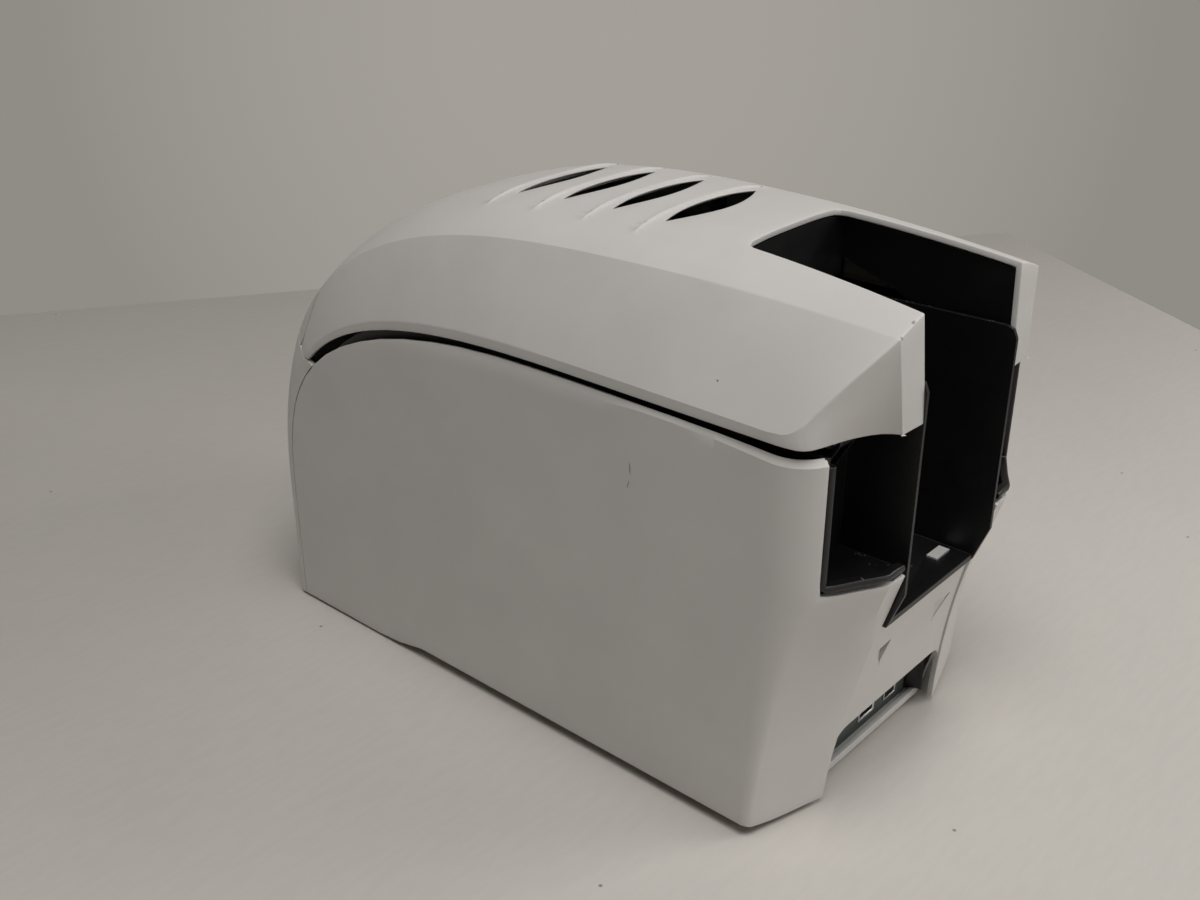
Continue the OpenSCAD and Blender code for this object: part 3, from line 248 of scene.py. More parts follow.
def make_finishes(colours):
    """One finish per slot of the record."""
    FINISHES.update({
        # ABS from a textured mould: an even white satin, with a few dark specks and scratches from use
        "shell_white": moulded_abs("white_moulded_abs", colours.white, marks=MARKS),
        # The same in black, with a coarser grain: a low grey sheen, and pale dust on what looks up
        "liner_black": moulded_abs("black_moulded_abs", colours.black, 0.4, 0.0011, 0.00005, True),
        # Moulded rubber: soot black without a highlight
        "foot_rubber": rubber("foot_rubber", colours.rubber),
        # Acetal: pale and a little waxy
        "catch_grey": moulded_abs("pale_grey_acetal", "C9C9C6", 0.38),
        # Rolled sheet, zinc plated: cool grey with faint lines down the sheet
        "plate_steel": ground_steel("zinc_plated_sheet", "A9ABAD", 0.36, (20.0, 1.0, 20.0)),
        # Ground between wheels: bright, with the highlight drawn out along the rod
        "rod_steel": ground_steel("ground_steel_rod", "C4C6C8"),
        # Sprayed sheet: a dull grey green with a slight orange peel
        "port_grey": moulded_abs("grey_green_paint", "414945", 0.45),
        # Tin on pressed steel: a bright, blurred mirror
        "socket_metal": ground_steel("tinned_socket_shell", "CDCED0", 0.22),
        # Moulded inside of a socket: near black, half dull
        "socket_black": moulded_abs("black_socket_moulding", "0C0C0D", 0.4),
        # Lacquer over copper: deep green with paler tracks
        "board_green": solder_mask("green_solder_mask", "1C5A3A"),
        # Pressed from powder and oiled: brown gold, dull and even
        "bush_bronze": ground_steel("sintered_bronze", "B08A4E", 0.45, (30.0, 30.0, 30.0)),
        # Ground rubber sleeve: black and matte
        "roller_rubber": rubber("roller_rubber", colours.rubber),
        # Soft polyurethane that stays tacky: blue with a moist sheen
        "tacky_blue": rubber("tacky_blue_rubber", "5B86A6", 0.35),
        # Acetal without pigment: milky white with a soft highlight
        "gear_white": moulded_abs("natural_acetal", "DEDCD2", 0.4),
        # Turned brass: yellow, with a broad highlight
        "pinion_brass": ground_steel("turned_brass", "C9A55C", 0.3, (30.0, 30.0, 30.0)),
        # Dip paint on a steel can: black with a low sheen
        "motor_dark": moulded_abs("black_motor_paint", "1C1C1E", 0.5),
        # Moulded belt: black and matte
        "belt_black": rubber("belt_rubber", "141415"),
        # Polyester film with dye on it: very dark blue with a clear highlight
        "ribbon_dark": gloss_plastic("dyed_ribbon_film", "1A1B2E", 0.18),
        # Smoked acrylic: black, with the sharpest highlight of all
        "window_black": gloss_plastic("smoked_window", "0A0A0C", 0.08),
        # Lacquered paint on smooth buttons: silver or blue grey, softly glossy
        "button_silver": gloss_plastic("silver_button", "B9BCC2", 0.28),
        "button_blue": gloss_plastic("blue_grey_button", "5C7391", 0.28),
        # Milled aluminium: pale, with cutter lines across the head
        "head_alu": ground_steel("milled_aluminium", "BFC1C4", 0.32, (1.0, 40.0, 40.0)),
        # Nylon with glass fibre: charcoal, dry and dull
        "carrier_dark": moulded_abs("glass_filled_nylon", "232325", 0.55),
    })


def smooth(mesh, angle=32):
    """Smooth shading with edges over the angle kept sharp."""
    mesh.shade_smooth()
    mesh.set_sharp_from_angle(angle=math.radians(angle))


def new_object(bm, name):
    """Turns the bmesh into an object of the scene."""
    mesh = bpy.data.meshes.new(name)
    bm.to_mesh(mesh)
    bm.free()
    obj = bpy.data.objects.new(name, mesh)
    bpy.context.scene.collection.objects.link(obj)
    return obj


def piece(bm, name, body, slot, *replaced, angle=32):
    """Turns the bmesh into a piece that rides on its body and takes the finish of its slot."""
    obj = new_object(bm, name)
    obj.data.materials.append(FINISHES[slot])
    smooth(obj.data, angle)
    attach(obj, body)
    if replaced:
        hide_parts(*replaced)
    return obj


def round_edges(obj, width, segments=2, angle=40):
    """Rounds every edge over the angle, as a mould does."""
    bevel = obj.modifiers.new("moulded_edge", "BEVEL")
    bevel.width = width
    bevel.segments = segments
    bevel.limit_method = "ANGLE"
    bevel.angle_limit = math.radians(angle)
    bevel.miter_outer = "MITER_ARC"
    return obj


NODE_SLOT = {row["node"]: row["material_slot"] for row in frame["record"]["subparts"]}
NODE_BODY = {n: b for b, ns in frame["record"]["behaviour"]["bodies"].items() for n in ns}
WELD = 2e-6


def cut_off(bm, point, away):
    """Cuts off what lies beyond the plane through the point, and gives what the cut has made."""
    return bmesh.ops.bisect_plane(bm, geom=bm.verts[:] + bm.edges[:] + bm.faces[:], plane_co=point, plane_no=away,
                                  clear_outer=True)["geom_cut"]


def dressed(node, width, slot=None, top=None):
    """A welded copy of a CAD node with its edges rounded, cut off above top; it stands for the node."""
    source = frame["nodes"][node]
    bm = bmesh.new()
    bm.from_mesh(source.data)
    bmesh.ops.remove_doubles(bm, verts=bm.verts, dist=WELD)
    bmesh.ops.dissolve_limit(bm, angle_limit=math.radians(1.0), verts=bm.verts, edges=bm.edges)
    if top is not None:
        edges = [e for e in cut_off(bm, (0, 0, top), (0, 0, 1)) if isinstance(e, bmesh.types.BMEdge)]
        bmesh.ops.triangle_fill(bm, edges=edges, use_beauty=True)
    return round_edges(piece(bm, node + "_finish", NODE_BODY[node], slot or NODE_SLOT[node], node), width)


# Outer form of the housing in millimetres, as the frame's own solids have it.
# s runs from 0 in the middle of the crown to 1 at the crease, 2 at the rim and 3 under the rim band.
# u is an angle up the front curve as far as 90, and past that the length behind its end.
HALF_WIDTH = round(PANEL_BOX[1].x / MM, 1)
AXIS_Y, AXIS_Z = 62.0, 64.0
REAR = 198.0
LOW_EDGE = 212.5
# Length, height and power of each front curve, and the crown's fall to the rear; what these lose at the crease
CROWN, CREASE_LESS = (260, 210, 3.3, 8.5), (2, 11, 0.45, 1.5)
RIM = (248, 154, 3.1)
PANEL_LONG, PANEL_TALL, PANEL_POWER = 244.0, 143.0, 3.1
PANEL_TOP = AXIS_Z + PANEL_TALL
# Half width of the crease at its rear end, what it gains over its length, and where it ends
CREASE_REAR, CREASE_GAIN, CREASE_LONG, CREASE_END = 63.6, 29.4, 392.0, 194.0
# The shoulder swells out and up between the crease and the rim
SHOULDER, SHOULDER_WAY = 3, Vector((1, 0, 0.8))
# Half width of the cutout at its front edge, and what it gains as far as the rear
CUT_FRONT, CUT_HALF, CUT_GAIN = 97.4, 39.9, 5.4
# The seams as planes: where the cover opens, and where the fascia stands on the bezel
OPENING_Y, OPENING_Z, OPENING_LEAN = -157, 205, 0.27
BEZEL_Y, BEZEL_Z, BEZEL_LEAN = -160, 167, 0.5
SEAM_GAP = 0.6
# Angle past the flat foot of the front curve, from where the opening seam is looked for
PAST_FOOT = 12.0


def crease_x(y):
    """Half width of the crown at its crease."""
    return CREASE_REAR + CREASE_GAIN * (CREASE_END - y) / CREASE_LONG


def rear_share(y):
    """How far the top has begun to fall: 0 at the axis of the front curve, 1 at the rear."""
    return max(0.0, (y - AXIS_Y) / (REAR - AXIS_Y)) ** 2


def arc(a, b, n, u):
    """Point of a front curve of length a, height b and power n."""
    t = math.radians(u)
    return AXIS_Y - a * max(0.0, math.cos(t)) ** (2 / n), AXIS_Z + b * max(0.0, math.sin(t)) ** (2 / n)


def crown_curve(s):
    """Length, height, power and rear fall of the crown at column s."""
    k = min(abs(s), 1.0) ** 3
    return [size - less * k for size, less in zip(CROWN, CREASE_LESS)]


def crown_point(s, u):
    """Point of the crown, from its middle to the crease."""
    a, b, n, fall = crown_curve(s)
    if u < 90:
        y, z = arc(a, b, n, u)
    else:
        y = u - 90 + AXIS_Y
        z = AXIS_Z + b - rear_share(y) * fall
    return Vector((s * crease_x(y), y, z))


def rim_point(u, drop, draw_in, sink):
    """Point of the rim band; at drop 1 it has come in by draw_in and down by sink."""
    a, b, n = RIM
    if u < 90:
        y, z = arc(a - draw_in * drop, b - sink * drop, n, u)
    else:
        y = u - 90 + AXIS_Y
        top = AXIS_Z + b - rear_share(y)
        z = top - drop * (top - LOW_EDGE)
    return Vector((HALF_WIDTH, y, z))


def form_point(s, u, draw_in=0.0, sink=5.5):
    """Point of the whole outer form."""
    side = abs(s)
    p = crown_point(min(side, 1.0), u)
    if side > 1:
        k = min(side, 2.0) - 1
        p = p.lerp(rim_point(u, max(0.0, side - 2), draw_in, sink), k) + SHOULDER * k * (1 - k) * SHOULDER_WAY
    p.x = math.copysign(p.x, s)
    return p


def angle_at(s, y):
    """Place u of the form at length y; past the crease it is the crease's."""
    if y >= AXIS_Y:
        return 90 + y - AXIS_Y
    a, _, n, _ = crown_curve(s)
    return math.degrees(math.acos(((AXIS_Y - y) / a) ** (n / 2)))


def angle_where(s, test, low=0.0, **form):
    """Place u up the front curve, past low, where test of the form's point changes sign."""
    high = 90.0
    start = test(form_point(s, low, **form)) > 0
    for _ in range(34):
        u = (low + high) / 2
        if (test(form_point(s, u, **form)) > 0) == start:
            low = u
        else:
            high = u
    return low


def cover_seam(p):
    """Over 0 behind the seam where the cover opens."""
    return p.y - OPENING_Y - OPENING_LEAN * (p.z - OPENING_Z)


def bezel_seam(p):
    """Over 0 above the seam between bezel and fascia."""
    return p.z - BEZEL_Z + BEZEL_LEAN * (p.y - BEZEL_Y)


def over_bezel(s):
    """Place u of the fascia's lower edge."""
    return angle_where(s, lambda p: bezel_seam(p) - SEAM_GAP)


def curve_through(knots, x):
    """Height at x of a smooth curve through the knots."""
    for k in range(len(knots) - 1):
        if x <= knots[k + 1][0] or k == len(knots) - 2:
            break
    (x0, y0), (x1, y1) = knots[k], knots[k + 1]
    flat = (y1 - y0) / (x1 - x0)
    a = (y1 - knots[k - 1][1]) / (x1 - knots[k - 1][0]) if k else flat
    b = (knots[k + 2][1] - y0) / (knots[k + 2][0] - x0) if k + 2 < len(knots) else flat
    w = x1 - x0
    t = (x - x0) / w
    return ((2 * t ** 3 - 3 * t ** 2 + 1) * y0 + (t ** 3 - 2 * t ** 2 + t) * w * a
            + (3 * t ** 2 - 2 * t ** 3) * y1 + (t ** 3 - t ** 2) * w * b)


# Rear end of the cover in plan: where its slanted corner starts at the top, and where it ends at the low edge
EDGE_TOP = [(63.6, 192.4), (68.4, 190.0), (72.6, 187.6), (76.8, 185.1), (80.6, 182.6), (86.4, 178.8), (92.3, 174.8),
            (97.6, 170.9), (100.6, 167.2), (102.1, 162.2), (HALF_WIDTH, 155.0)]
EDGE_LOW = [(58.5, 195.4), (60.6, 191.6), (64.3, 187.6), (69.2, 184.6), (74.6, 182.0), (80.9, 179.8), (87.3, 178.0),
            (94.0, 175.9), (98.9, 173.3), (101.6, 168.6), (HALF_WIDTH, 160.5)]
# How far the rear wall bows back towards the cutout
WALL_BOW = 0.8
# Columns of the cover's grid over s, closer where the form bends; one of them follows the cutout
CUT_COLUMN = 0.5632
HALF_COLUMNS = [0, 0.08, 0.16, 0.22, 0.27, 0.31, 0.34, 0.37, 0.395, 0.415, 0.435, 0.45, 0.465, 0.48, 0.495,
                CUT_COLUMN, 0.59, 0.62, 0.65, 0.68, 0.71, 0.74, 0.78, 0.83, 0.88, 0.93, 0.97, 0.99, 1.0,
                1.012, 1.04, 1.1, 1.18, 1.27, 1.36, 1.46, 1.56, 1.66, 1.76, 1.85, 1.92, 1.965, 1.988, 2.0,
                2.12, 2.5, 3.0]
COLUMNS = [-s for s in HALF_COLUMNS[:0:-1]] + HALF_COLUMNS
# Each louvre's middle and the length of its opening behind that; half widths of the openings and of the lips
LOUVRES = [(-51.0, 7.4), (-18.0, 7.4), (15.0, 7.4), (48.0, 10.8)]
LOUVRE_HALF, LIP_HALF = 37.0, 55.0
LOUVRE_BOW, LIP_AHEAD = 4.7, 4.5
# Length at which the first rows end, and at which the last begin to turn towards the slanted rear corner
FRONT_ROWS_END, ARMS_FROM = -98, 140


def cut_shift(s, y):
    """Slides a column so that one follows the edge of the cutout."""
    side = abs(s)
    if y <= CUT_FRONT or side >= 1:
        return s
    edge = (CUT_HALF + CUT_GAIN * (y - CUT_FRONT) / (REAR - CUT_FRONT)) / crease_x(y)
    if side <= CUT_COLUMN:
        side *= edge / CUT_COLUMN
    else:
        side = edge + (side - CUT_COLUMN) * (1 - edge) / (1 - CUT_COLUMN)
    return math.copysign(side, s)


def foot_of(top):
    """Lower end of the cover's rear wall under a point of its upper end."""
    x = abs(top.x)
    (tip_top, _), (tip_low, rear_low) = EDGE_TOP[0], EDGE_LOW[0]
    if x <= tip_top + 0.01:
        bow = WALL_BOW * (tip_top - x) / (tip_top - CUT_HALF - CUT_GAIN)
        low = Vector((x * tip_low / tip_top, rear_low + bow, LOW_EDGE))
    else:
        low = Vector((tip_low + (x - tip_top) * (HALF_WIDTH - tip_low) / (HALF_WIDTH - tip_top), 0, LOW_EDGE))
        low.y = curve_through(EDGE_LOW, low.x)
    low.x = math.copysign(low.x, top.x)
    return low


def cover_rows(rise):
    """Rows of the cover from front to rear: each gives the place u and the lift for a column."""
    def up_front(f):
        """Row at share f of the way from the seam to where the level rows begin."""
        def row(s):
            low = max(angle_where(s, cover_seam, PAST_FOOT), over_bezel(s))
            return low + f * (angle_at(s, FRONT_ROWS_END) - low), 0.0
        return row

    def at(y):
        """Row straight across at length y."""
        return lambda s: (angle_at(s, y), 0.0)

    def bowed(y0, half, base, bow, lift, spare):
        """Row that bows by that much within a half width, and lifts there."""
        def row(s):
            x = min(abs(s), 1.0) * crease_x(y0)
            k = max(0.0, 1 - (x / half) ** 2)
            return angle_at(s, y0 + base + bow * k + spare), lift * min(1.0, 2.2 * k) if abs(s) < 1 else 0.0
        return row

    def to_edge(f):
        """Row at share f of the way to the slanted rear edge, which is found by steps."""
        def row(s):
            side = min(abs(s), 2.0)
            y = EDGE_TOP[3][1]
            for _ in range(12):
                p = form_point(cut_shift(side, y), angle_at(side, y))
                y = curve_through(EDGE_TOP, p.x) if side > 1 else EDGE_TOP[0][1]
            return angle_at(s, ARMS_FROM + f * (y - ARMS_FROM)), 0.0
        return row

    rows = [up_front(f / 10) for f in range(10)] + [at(y) for y in (FRONT_ROWS_END, -86, -74)]
    openings = []
    # A lip from its front foot over its top to its rear foot: bow, lift and spare length
    lip = [(-3.9, 0.0, -1.5), (-3.3, rise, -0.9), (-1.7, rise, -0.5), (-1.2, 0.15, -0.1)]
    for y0, rear in LOUVRES:
        rows += [at(y0 - 13)]
        rows += [bowed(y0, LIP_HALF, -LIP_AHEAD, bow, lift, spare) for bow, lift, spare in lip]
        openings.append(len(rows))
        rows += [bowed(y0, LOUVRE_HALF, 0, -LOUVRE_BOW, 0.0, -0.25), bowed(y0, LOUVRE_HALF, 0, rear, 0.0, 0.25),
                 at(y0 + rear + 3)]
    rows += [at(y) for y in (66, 76, 86, 92.6)]
    cut = len(rows)
    rows += [at(y) for y in (CUT_FRONT, 101.9, 112, 122, 131)]
    rows += [to_edge(f) for f in (0, 0.25, 0.5, 0.7, 0.85, 0.95, 1)]
    return rows, openings, cut


def sheet(cols, rows, place, hole=None):
    """A grid of corners, each put where place says in millimetres, without the fields that hole names."""
    bm = bmesh.new()
    bmesh.ops.create_grid(bm, x_segments=cols - 1, y_segments=rows - 1, size=1.0)

    def index(co):
        return (co.x + 1) / 2 * (cols - 1), (co.y + 1) / 2 * (rows - 1)

    if hole:
        gone = []
        for face in bm.faces:
            i, j = index(face.calc_center_median())
            if hole(int(i), int(j)):
                gone.append(face)
        bmesh.ops.delete(bm, geom=gone, context="FACES")
    for v in bm.verts:
        i, j = index(v.co)
        v.co = Vector(place(round(i), round(j))) * MM
    bmesh.ops.remove_doubles(bm, verts=bm.verts, dist=1e-5)
    return bm


def shell(bm, name, wall, *replaced, body="root", slot="shell_white", centre=(0.0, 0.0, 0.1), angle=32):
    """A piece from an open skin that faces away from a point inside it, with its wall put on inwards."""
    bmesh.ops.recalc_face_normals(bm, faces=bm.faces)
    middle = Vector(centre)
    if sum(f.normal.dot(f.calc_center_median() - middle) * f.calc_area() for f in bm.faces) < 0:
        bmesh.ops.reverse_faces(bm, faces=bm.faces)
    obj = piece(bm, name, body, slot, *replaced, angle=angle)
    solid = obj.modifiers.new("wall", "SOLIDIFY")
    solid.thickness = wall
    solid.offset = -1
    solid.use_even_offset = True
    return obj


def block(low, high):
    """A closed box as a cutter, from corner to corner in metres."""
    bm = bmesh.new()
    bmesh.ops.create_cube(bm, size=1.0)
    low, high = Vector(low), Vector(high)
    for v in bm.verts:
        v.co = Vector([low[k] + (v.co[k] + 0.5) * (high[k] - low[k]) for k in range(3)])
    return bm


def peg(centre, radius, length, turn):
    """A closed round bar as a cutter, turned about X by that angle."""
    bm = bmesh.new()
    bmesh.ops.create_cone(bm, cap_ends=True, segments=48, radius1=radius, radius2=radius, depth=length)
    bmesh.ops.transform(bm, matrix=Matrix.Translation(centre) @ Matrix.Rotation(math.radians(turn), 4, "X"),
                        verts=bm.verts)
    return bm


def carve(obj, *cutters, angle=32):
    """Settles a piece's modifiers into its mesh, and cuts closed shapes out of it."""
    made = [new_object(bm, "cutter") for bm in cutters]
    for tool in made:
        cut = obj.modifiers.new("cut", "BOOLEAN")
        cut.operation = "DIFFERENCE"
        cut.solver = "EXACT"
        cut.object = tool
    graph = bpy.context.evaluated_depsgraph_get()
    mesh = bpy.data.meshes.new_from_object(obj.evaluated_get(graph))
    obj.modifiers.clear()
    old = obj.data
    obj.data = mesh
    bpy.data.meshes.remove(old)
    for tool in made:
        bpy.data.objects.remove(tool)
    smooth(mesh, angle)


class CARD_OT_finishes(bpy.types.Operator):
    """Gives every solid of the frame the finish of its slot"""

    bl_idname = "card.finishes"
    bl_label = "Finishes"

    def execute(self, context):
        make_finishes(context.scene.shell_colours)
        for name, obj in frame["nodes"].items():
            obj.data.materials.clear()
            obj.data.materials.append(FINISHES[NODE_SLOT[name]])
        return {"FINISHED"}


class CARD_OT_cover(bpy.types.Operator):
    """Moulded top cover with its crown, shoulders, rim band, slanted rear corners, louvres and cutout"""

    bl_idname = "card.cover"
    bl_label = "Top cover"

    def execute(self, context):
        sizes = context.scene.shell_sizes
        rows, openings, cut = cover_rows(sizes.lip_rise / MM)
        drops = [0.12, 0.5, 1.0]
        last = len(rows) - 1
        middle = len(HALF_COLUMNS) - 1
        edge = HALF_COLUMNS.index(CUT_COLUMN)
        corner_radius = 1.4

        @cache
        def skin(i, j):
            """Point of the skin in column i and row j."""
            s = COLUMNS[i]
            u, lift = rows[j](s)
            y = u - 90 + AXIS_Y if u >= 90 else form_point(s, u).y
            return form_point(cut_shift(s, y), u) + Vector((0, 0, lift))

        def place(i, j):
            s = COLUMNS[i]
            drop = drops[j - len(rows)] if j > last else 0.0
            p = top = skin(i, min(j, last)).copy()
            if abs(s) > 2 and j >= last:
                # Under the rim the rear wall starts lower
                rim = math.copysign(2.0, s)
                top = form_point(rim, rows[last](rim)[0])
                drop = max(drop, (top.z - p.z) / (top.z - LOW_EDGE))
            if drop:
                return top.lerp(foot_of(top), drop)
            if j == cut and abs(i - middle) == edge:
                # The front corners of the cutout are rounded
                p += Vector((-math.copysign(corner_radius, s), corner_radius, 0))
            return p

        def hole(i, j):
            if j >= cut and abs(i + 0.5 - middle) < edge:
                return True
            if j in openings:
                s = abs(COLUMNS[i] + COLUMNS[i + 1]) / 2
                return s * crease_x(LOUVRES[openings.index(j)][0]) < LOUVRE_HALF
            return False

        bm = sheet(len(COLUMNS), len(rows) + len(drops), place, hole)
        obj = shell(bm, "cover_shell", sizes.cover_wall, "top_cover", body="cover", angle=24)
        # The wall is thin round the louvres, so the openings show black from behind
        thin_share, thin_half, thin_over = 0.32, 50, 0.2
        thin = obj.vertex_groups.new(name="wall_share")
        spans = [(y0 - 9, y0 + rear + 3) for y0, rear in LOUVRES]
        for v in obj.data.vertices:
            x, y = abs(v.co.x) / MM, v.co.y / MM
            near = v.co.z > thin_over and x < thin_half and any(a < y < b for a, b in spans)
            thin.add([v.index], thin_share if near else 1.0, "REPLACE")
        obj.modifiers["wall"].vertex_group = "wall_share"
        edge_round = round_edges(obj, sizes.edge, 3, 50).modifiers["moulded_edge"]
        edge_round.use_clamp_overlap = False
        edge_round.miter_outer = "MITER_SHARP"
        carve(obj, angle=26)
        # At the sharp corners of the seams, the rounding stays within the flat side and over the low edge
        arms_from = 0.1
        for v in obj.data.vertices:
            v.co.x = max(-sizes.half_width, min(sizes.half_width, v.co.x))
            if v.co.y > arms_from:
                v.co.z = max(v.co.z, LOW_EDGE * MM)
        return {"FINISHED"}


class CARD_OT_fascia(bpy.types.Operator):
    """Fascia between the cover and the bezel, with the holes of the window and the status button"""

    bl_idname = "card.fascia"
    bl_label = "Fascia"

    def execute(self, context):
        sizes = context.scene.shell_sizes
        count = 16
        narrowest = 0.7
        spans = [(over_bezel(s), angle_where(s, lambda p: cover_seam(p) + SEAM_GAP, PAST_FOOT)) for s in COLUMNS]

        def place(i, j):
            low, high = spans[i]
            return form_point(COLUMNS[i], low + (high - low) * j / (count - 1))

        def hole(i, j):
            return min(spans[i][1] - spans[i][0], spans[i + 1][1] - spans[i + 1][0]) < narrowest

        bm = sheet(len(COLUMNS), count, place, hole)
        obj = shell(bm, "fascia_shell", sizes.cover_wall, "cover_fascia", body="cover", angle=38)
        window = block((-0.0231, -0.21, 0.1874), (0.0231, -0.14, 0.2046))
        status_button = peg((0.042, -0.177, 0.197), 0.0047, 0.04, 65)
        carve(obj, window, status_button)
        round_edges(obj, sizes.edge * 0.6, 2, 50)
        return {"FINISHED"}


class CARD_OT_bezel(bpy.types.Operator):
    """Front bezel with the output opening and the holes of the two buttons"""

    bl_idname = "card.bezel"
    bl_label = "Front bezel"

    def execute(self, context):
        sizes = context.scene.shell_sizes
        form = {"draw_in": 3.4, "sink": 10.4}
        # Heights of the straight foot under the curve
        lows = [2.0, 16.0, 30.0, 46.0]
        ups = 26

        def place(i, j):
            s = COLUMNS[i]
            if j < len(lows):
                p = form_point(s, 0.0, **form)
                return Vector((p.x, p.y, lows[j]))
            top = angle_where(s, bezel_seam, **form)
            f = (j - len(lows)) / (ups - 1)
            return form_point(s, top * f, **form)

        bm = sheet(len(COLUMNS), len(lows) + ups, place)
        obj = shell(bm, "bezel_shell", sizes.panel_wall, "front_bezel", angle=38)
        output = block((-0.034, -0.21, 0.03), (0.034, -0.17, 0.12))
        power_button = peg((0.0, -0.19, 0.142), 0.0083, 0.06, 90)
        release_button = peg((0.066, -0.19, 0.092), 0.0053, 0.06, 90)
        carve(obj, output, power_button, release_button)
        round_edges(obj, sizes.edge, 2, 50)
        return {"FINISHED"}


# Half width of the inner edge of the legs, over the height
LEG_INNER = [(-5.0, 56.0), (41.5, 52.0), (80.0, 47.0), (110.0, 45.0), (260.0, 45.0)]
# Lower edge of the side panel along its length: low along the skirt, then higher as far as the leg
SKIRT = [(-198, 2.0), (-97, 2.0), (-85, 7.0), (156, 7.0), (162, 4.0), (240, 4.0)]
BAY_FLOOR = 138.0
# The legs curve back by LEG_REACH from the floor to LEG_CURVE_TOP; the rear panel lies behind their face
LEG_FOOT, LEG_REACH, LEG_CURVE_TOP, LEG_POWER = 171.5, 26, 140.0, 1.6
PANEL_INSET = 1.9


def swing(z):
    """Share of the legs' reach at height z."""
    return (min(max(z, 0.0), LEG_CURVE_TOP) / LEG_CURVE_TOP) ** LEG_POWER


def leg_rear(z):
    """Length at which the legs end at height z."""
    return LEG_FOOT + LEG_REACH * swing(z)


def between(knots, z):
    """Value at z on straight lines through the knots."""
    for (z0, x0), (z1, x1) in zip(knots, knots[1:]):
        if z <= z1:
            return x0 + (x1 - x0) * (z - z0) / (z1 - z0)
    return knots[-1][1]


class CARD_OT_side_panels(bpy.types.Operator):
    """Large plain side panels that wrap the rear corners down to the legs"""

    bl_idname = "card.side_panels"
    bl_label = "Side panels"

    def execute(self, context):
        sizes = context.scene.shell_sizes
        # Columns: angles up the front curve, lengths behind it, shares of the bend and of the run to the leg
        fronts = [0, 2, 4.5, 7.5, 11, 15, 19.5, 24.5, 30, 36, 42, 48, 54, 60, 66, 72, 77, 82, 86, 89, 90]
        lengths = [80, 98, 116, 130, 140]
        bends = [k / 10 for k in range(11)]
        runs = [0.12, 0.3, 0.5, 0.7, 0.9, 1.0]
        bay_run, flat_run = runs[0], runs[3]
        # Rows: shares of the height; the opening of the bay is over row bay and behind column keep
        highs = [0, 0.02, 0.06, 0.12, 0.2, 0.28, 0.36, 0.44, 0.5, 0.55, 0.6, 0.635, 0.655, 0.7, 0.76, 0.83, 0.9,
                 0.96, 0.99, 1.0]
        bay, top_row = 12, len(highs) - 1
        keep = len(fronts) + len(lengths) + len(bends)
        bay_edge = 89.0

        def plan(z, n):
            """Point n of the outline round the rear corner at height z, as half width and length."""
            q = swing(z)
            rear = leg_rear(z)
            corner = Vector((HALF_WIDTH, 157 + 14.7 * q))
            inner = between(LEG_INNER, z)
            ease = min(max((z - 90) / 26, 0.0), 1.0)
            flat = Vector((inner + 0.6 + 11.4 * ease * ease * (3 - 2 * ease), rear - 1))
            run = (flat - corner).normalized()
            reach = 4 + 9 * q
            start, end = corner - Vector((0, reach)), corner + run * reach
            if n < len(lengths):
                share = (lengths[n] - AXIS_Y) / (lengths[-1] - AXIS_Y)
                return Vector((HALF_WIDTH, AXIS_Y + (start.y - AXIS_Y) * share))
            n -= len(lengths)
            if n < len(bends):
                t = bends[n]
                return (1 - t) ** 2 * start + 2 * t * (1 - t) * corner + t * t * end
            t = runs[n - len(bends)]
            at_bay = end + run * ((end.x - bay_edge) / -run.x)
            if t <= flat_run:
                return at_bay.lerp(flat, (t - bay_run) / (flat_run - bay_run))
            tip = Vector((inner, rear - 0.2 - 0.8 * (1 - ease)))
            return flat.lerp(tip, (t - flat_run) / (1 - flat_run))

        def slanted(p, j):
            """The top edge slants inwards, more so round the rear corner."""
            corner = min(max((p.y - 120) / 40, 0.0), 1.0)
            level = PANEL_TOP - 0.5 - 2.7 * corner
            if j < top_row:
                return Vector((p.x, p.y, level if j == top_row - 1 else min(p.z, level)))
            inward = Vector((p.x - 80, p.y - min(p.y, 150), 0)).normalized()
            p = p - inward * (1.3 + 1.2 * corner)
            return Vector((p.x, p.y, PANEL_TOP + 2 - 2 * corner))

        def on_front(i, j):
            """Point of the flat side; its top edge rises and slants inwards from the shoulder on."""
            y, top = arc(PANEL_LONG, PANEL_TALL, PANEL_POWER, fronts[i])
            if j == top_row and y > -110:
                rise = 2 * min((y + 110) / 90, 1.0)
                y, z = arc(PANEL_LONG + rise, PANEL_TALL + rise, PANEL_POWER, fronts[i])
                return Vector((HALF_WIDTH - 0.65 * rise, y, z))
            low = between(SKIRT, y)
            return Vector((HALF_WIDTH, y, low + highs[j] * (top - low)))

        def on_rear(i, j):
            """Point behind the front curve, round the corner and on the leg."""
            n = i - len(fronts)
            if j >= bay:
                z = BAY_FLOOR + (highs[j] - highs[bay]) / (1 - highs[bay]) * (PANEL_TOP - BAY_FLOOR)
            else:
                # The lower edge is looked up where the outline is at about this height
                low = between(SKIRT, plan(7 + highs[j] * 200.0, n).y)
                z = low + highs[j] / highs[bay] * (BAY_FLOOR - low)
            p = plan(z, n)
            if i == keep and j == bay:
                # The lower outer corner of the bay is rounded
                p, z = p + Vector((-0.9, 0.5)), z + 1.1
            return slanted(Vector((p.x, p.y, z)), j)

        for name, sign in (("right", 1), ("left", -1)):
            def place(i, j):
                p = on_front(i, j) if i < len(fronts) else on_rear(i, j)
                return (sign * p.x, p.y, p.z)

            bm = sheet(keep + len(runs), len(highs), place, lambda i, j: i >= keep and j >= bay)
            obj = shell(bm, "side_panel_shell_" + name, sizes.panel_wall, "side_panel_" + name,
                        centre=(0, 0.02, 0.1), angle=20)
            round_edges(obj, sizes.edge * 0.8, 3, 30)
        return {"FINISHED"}


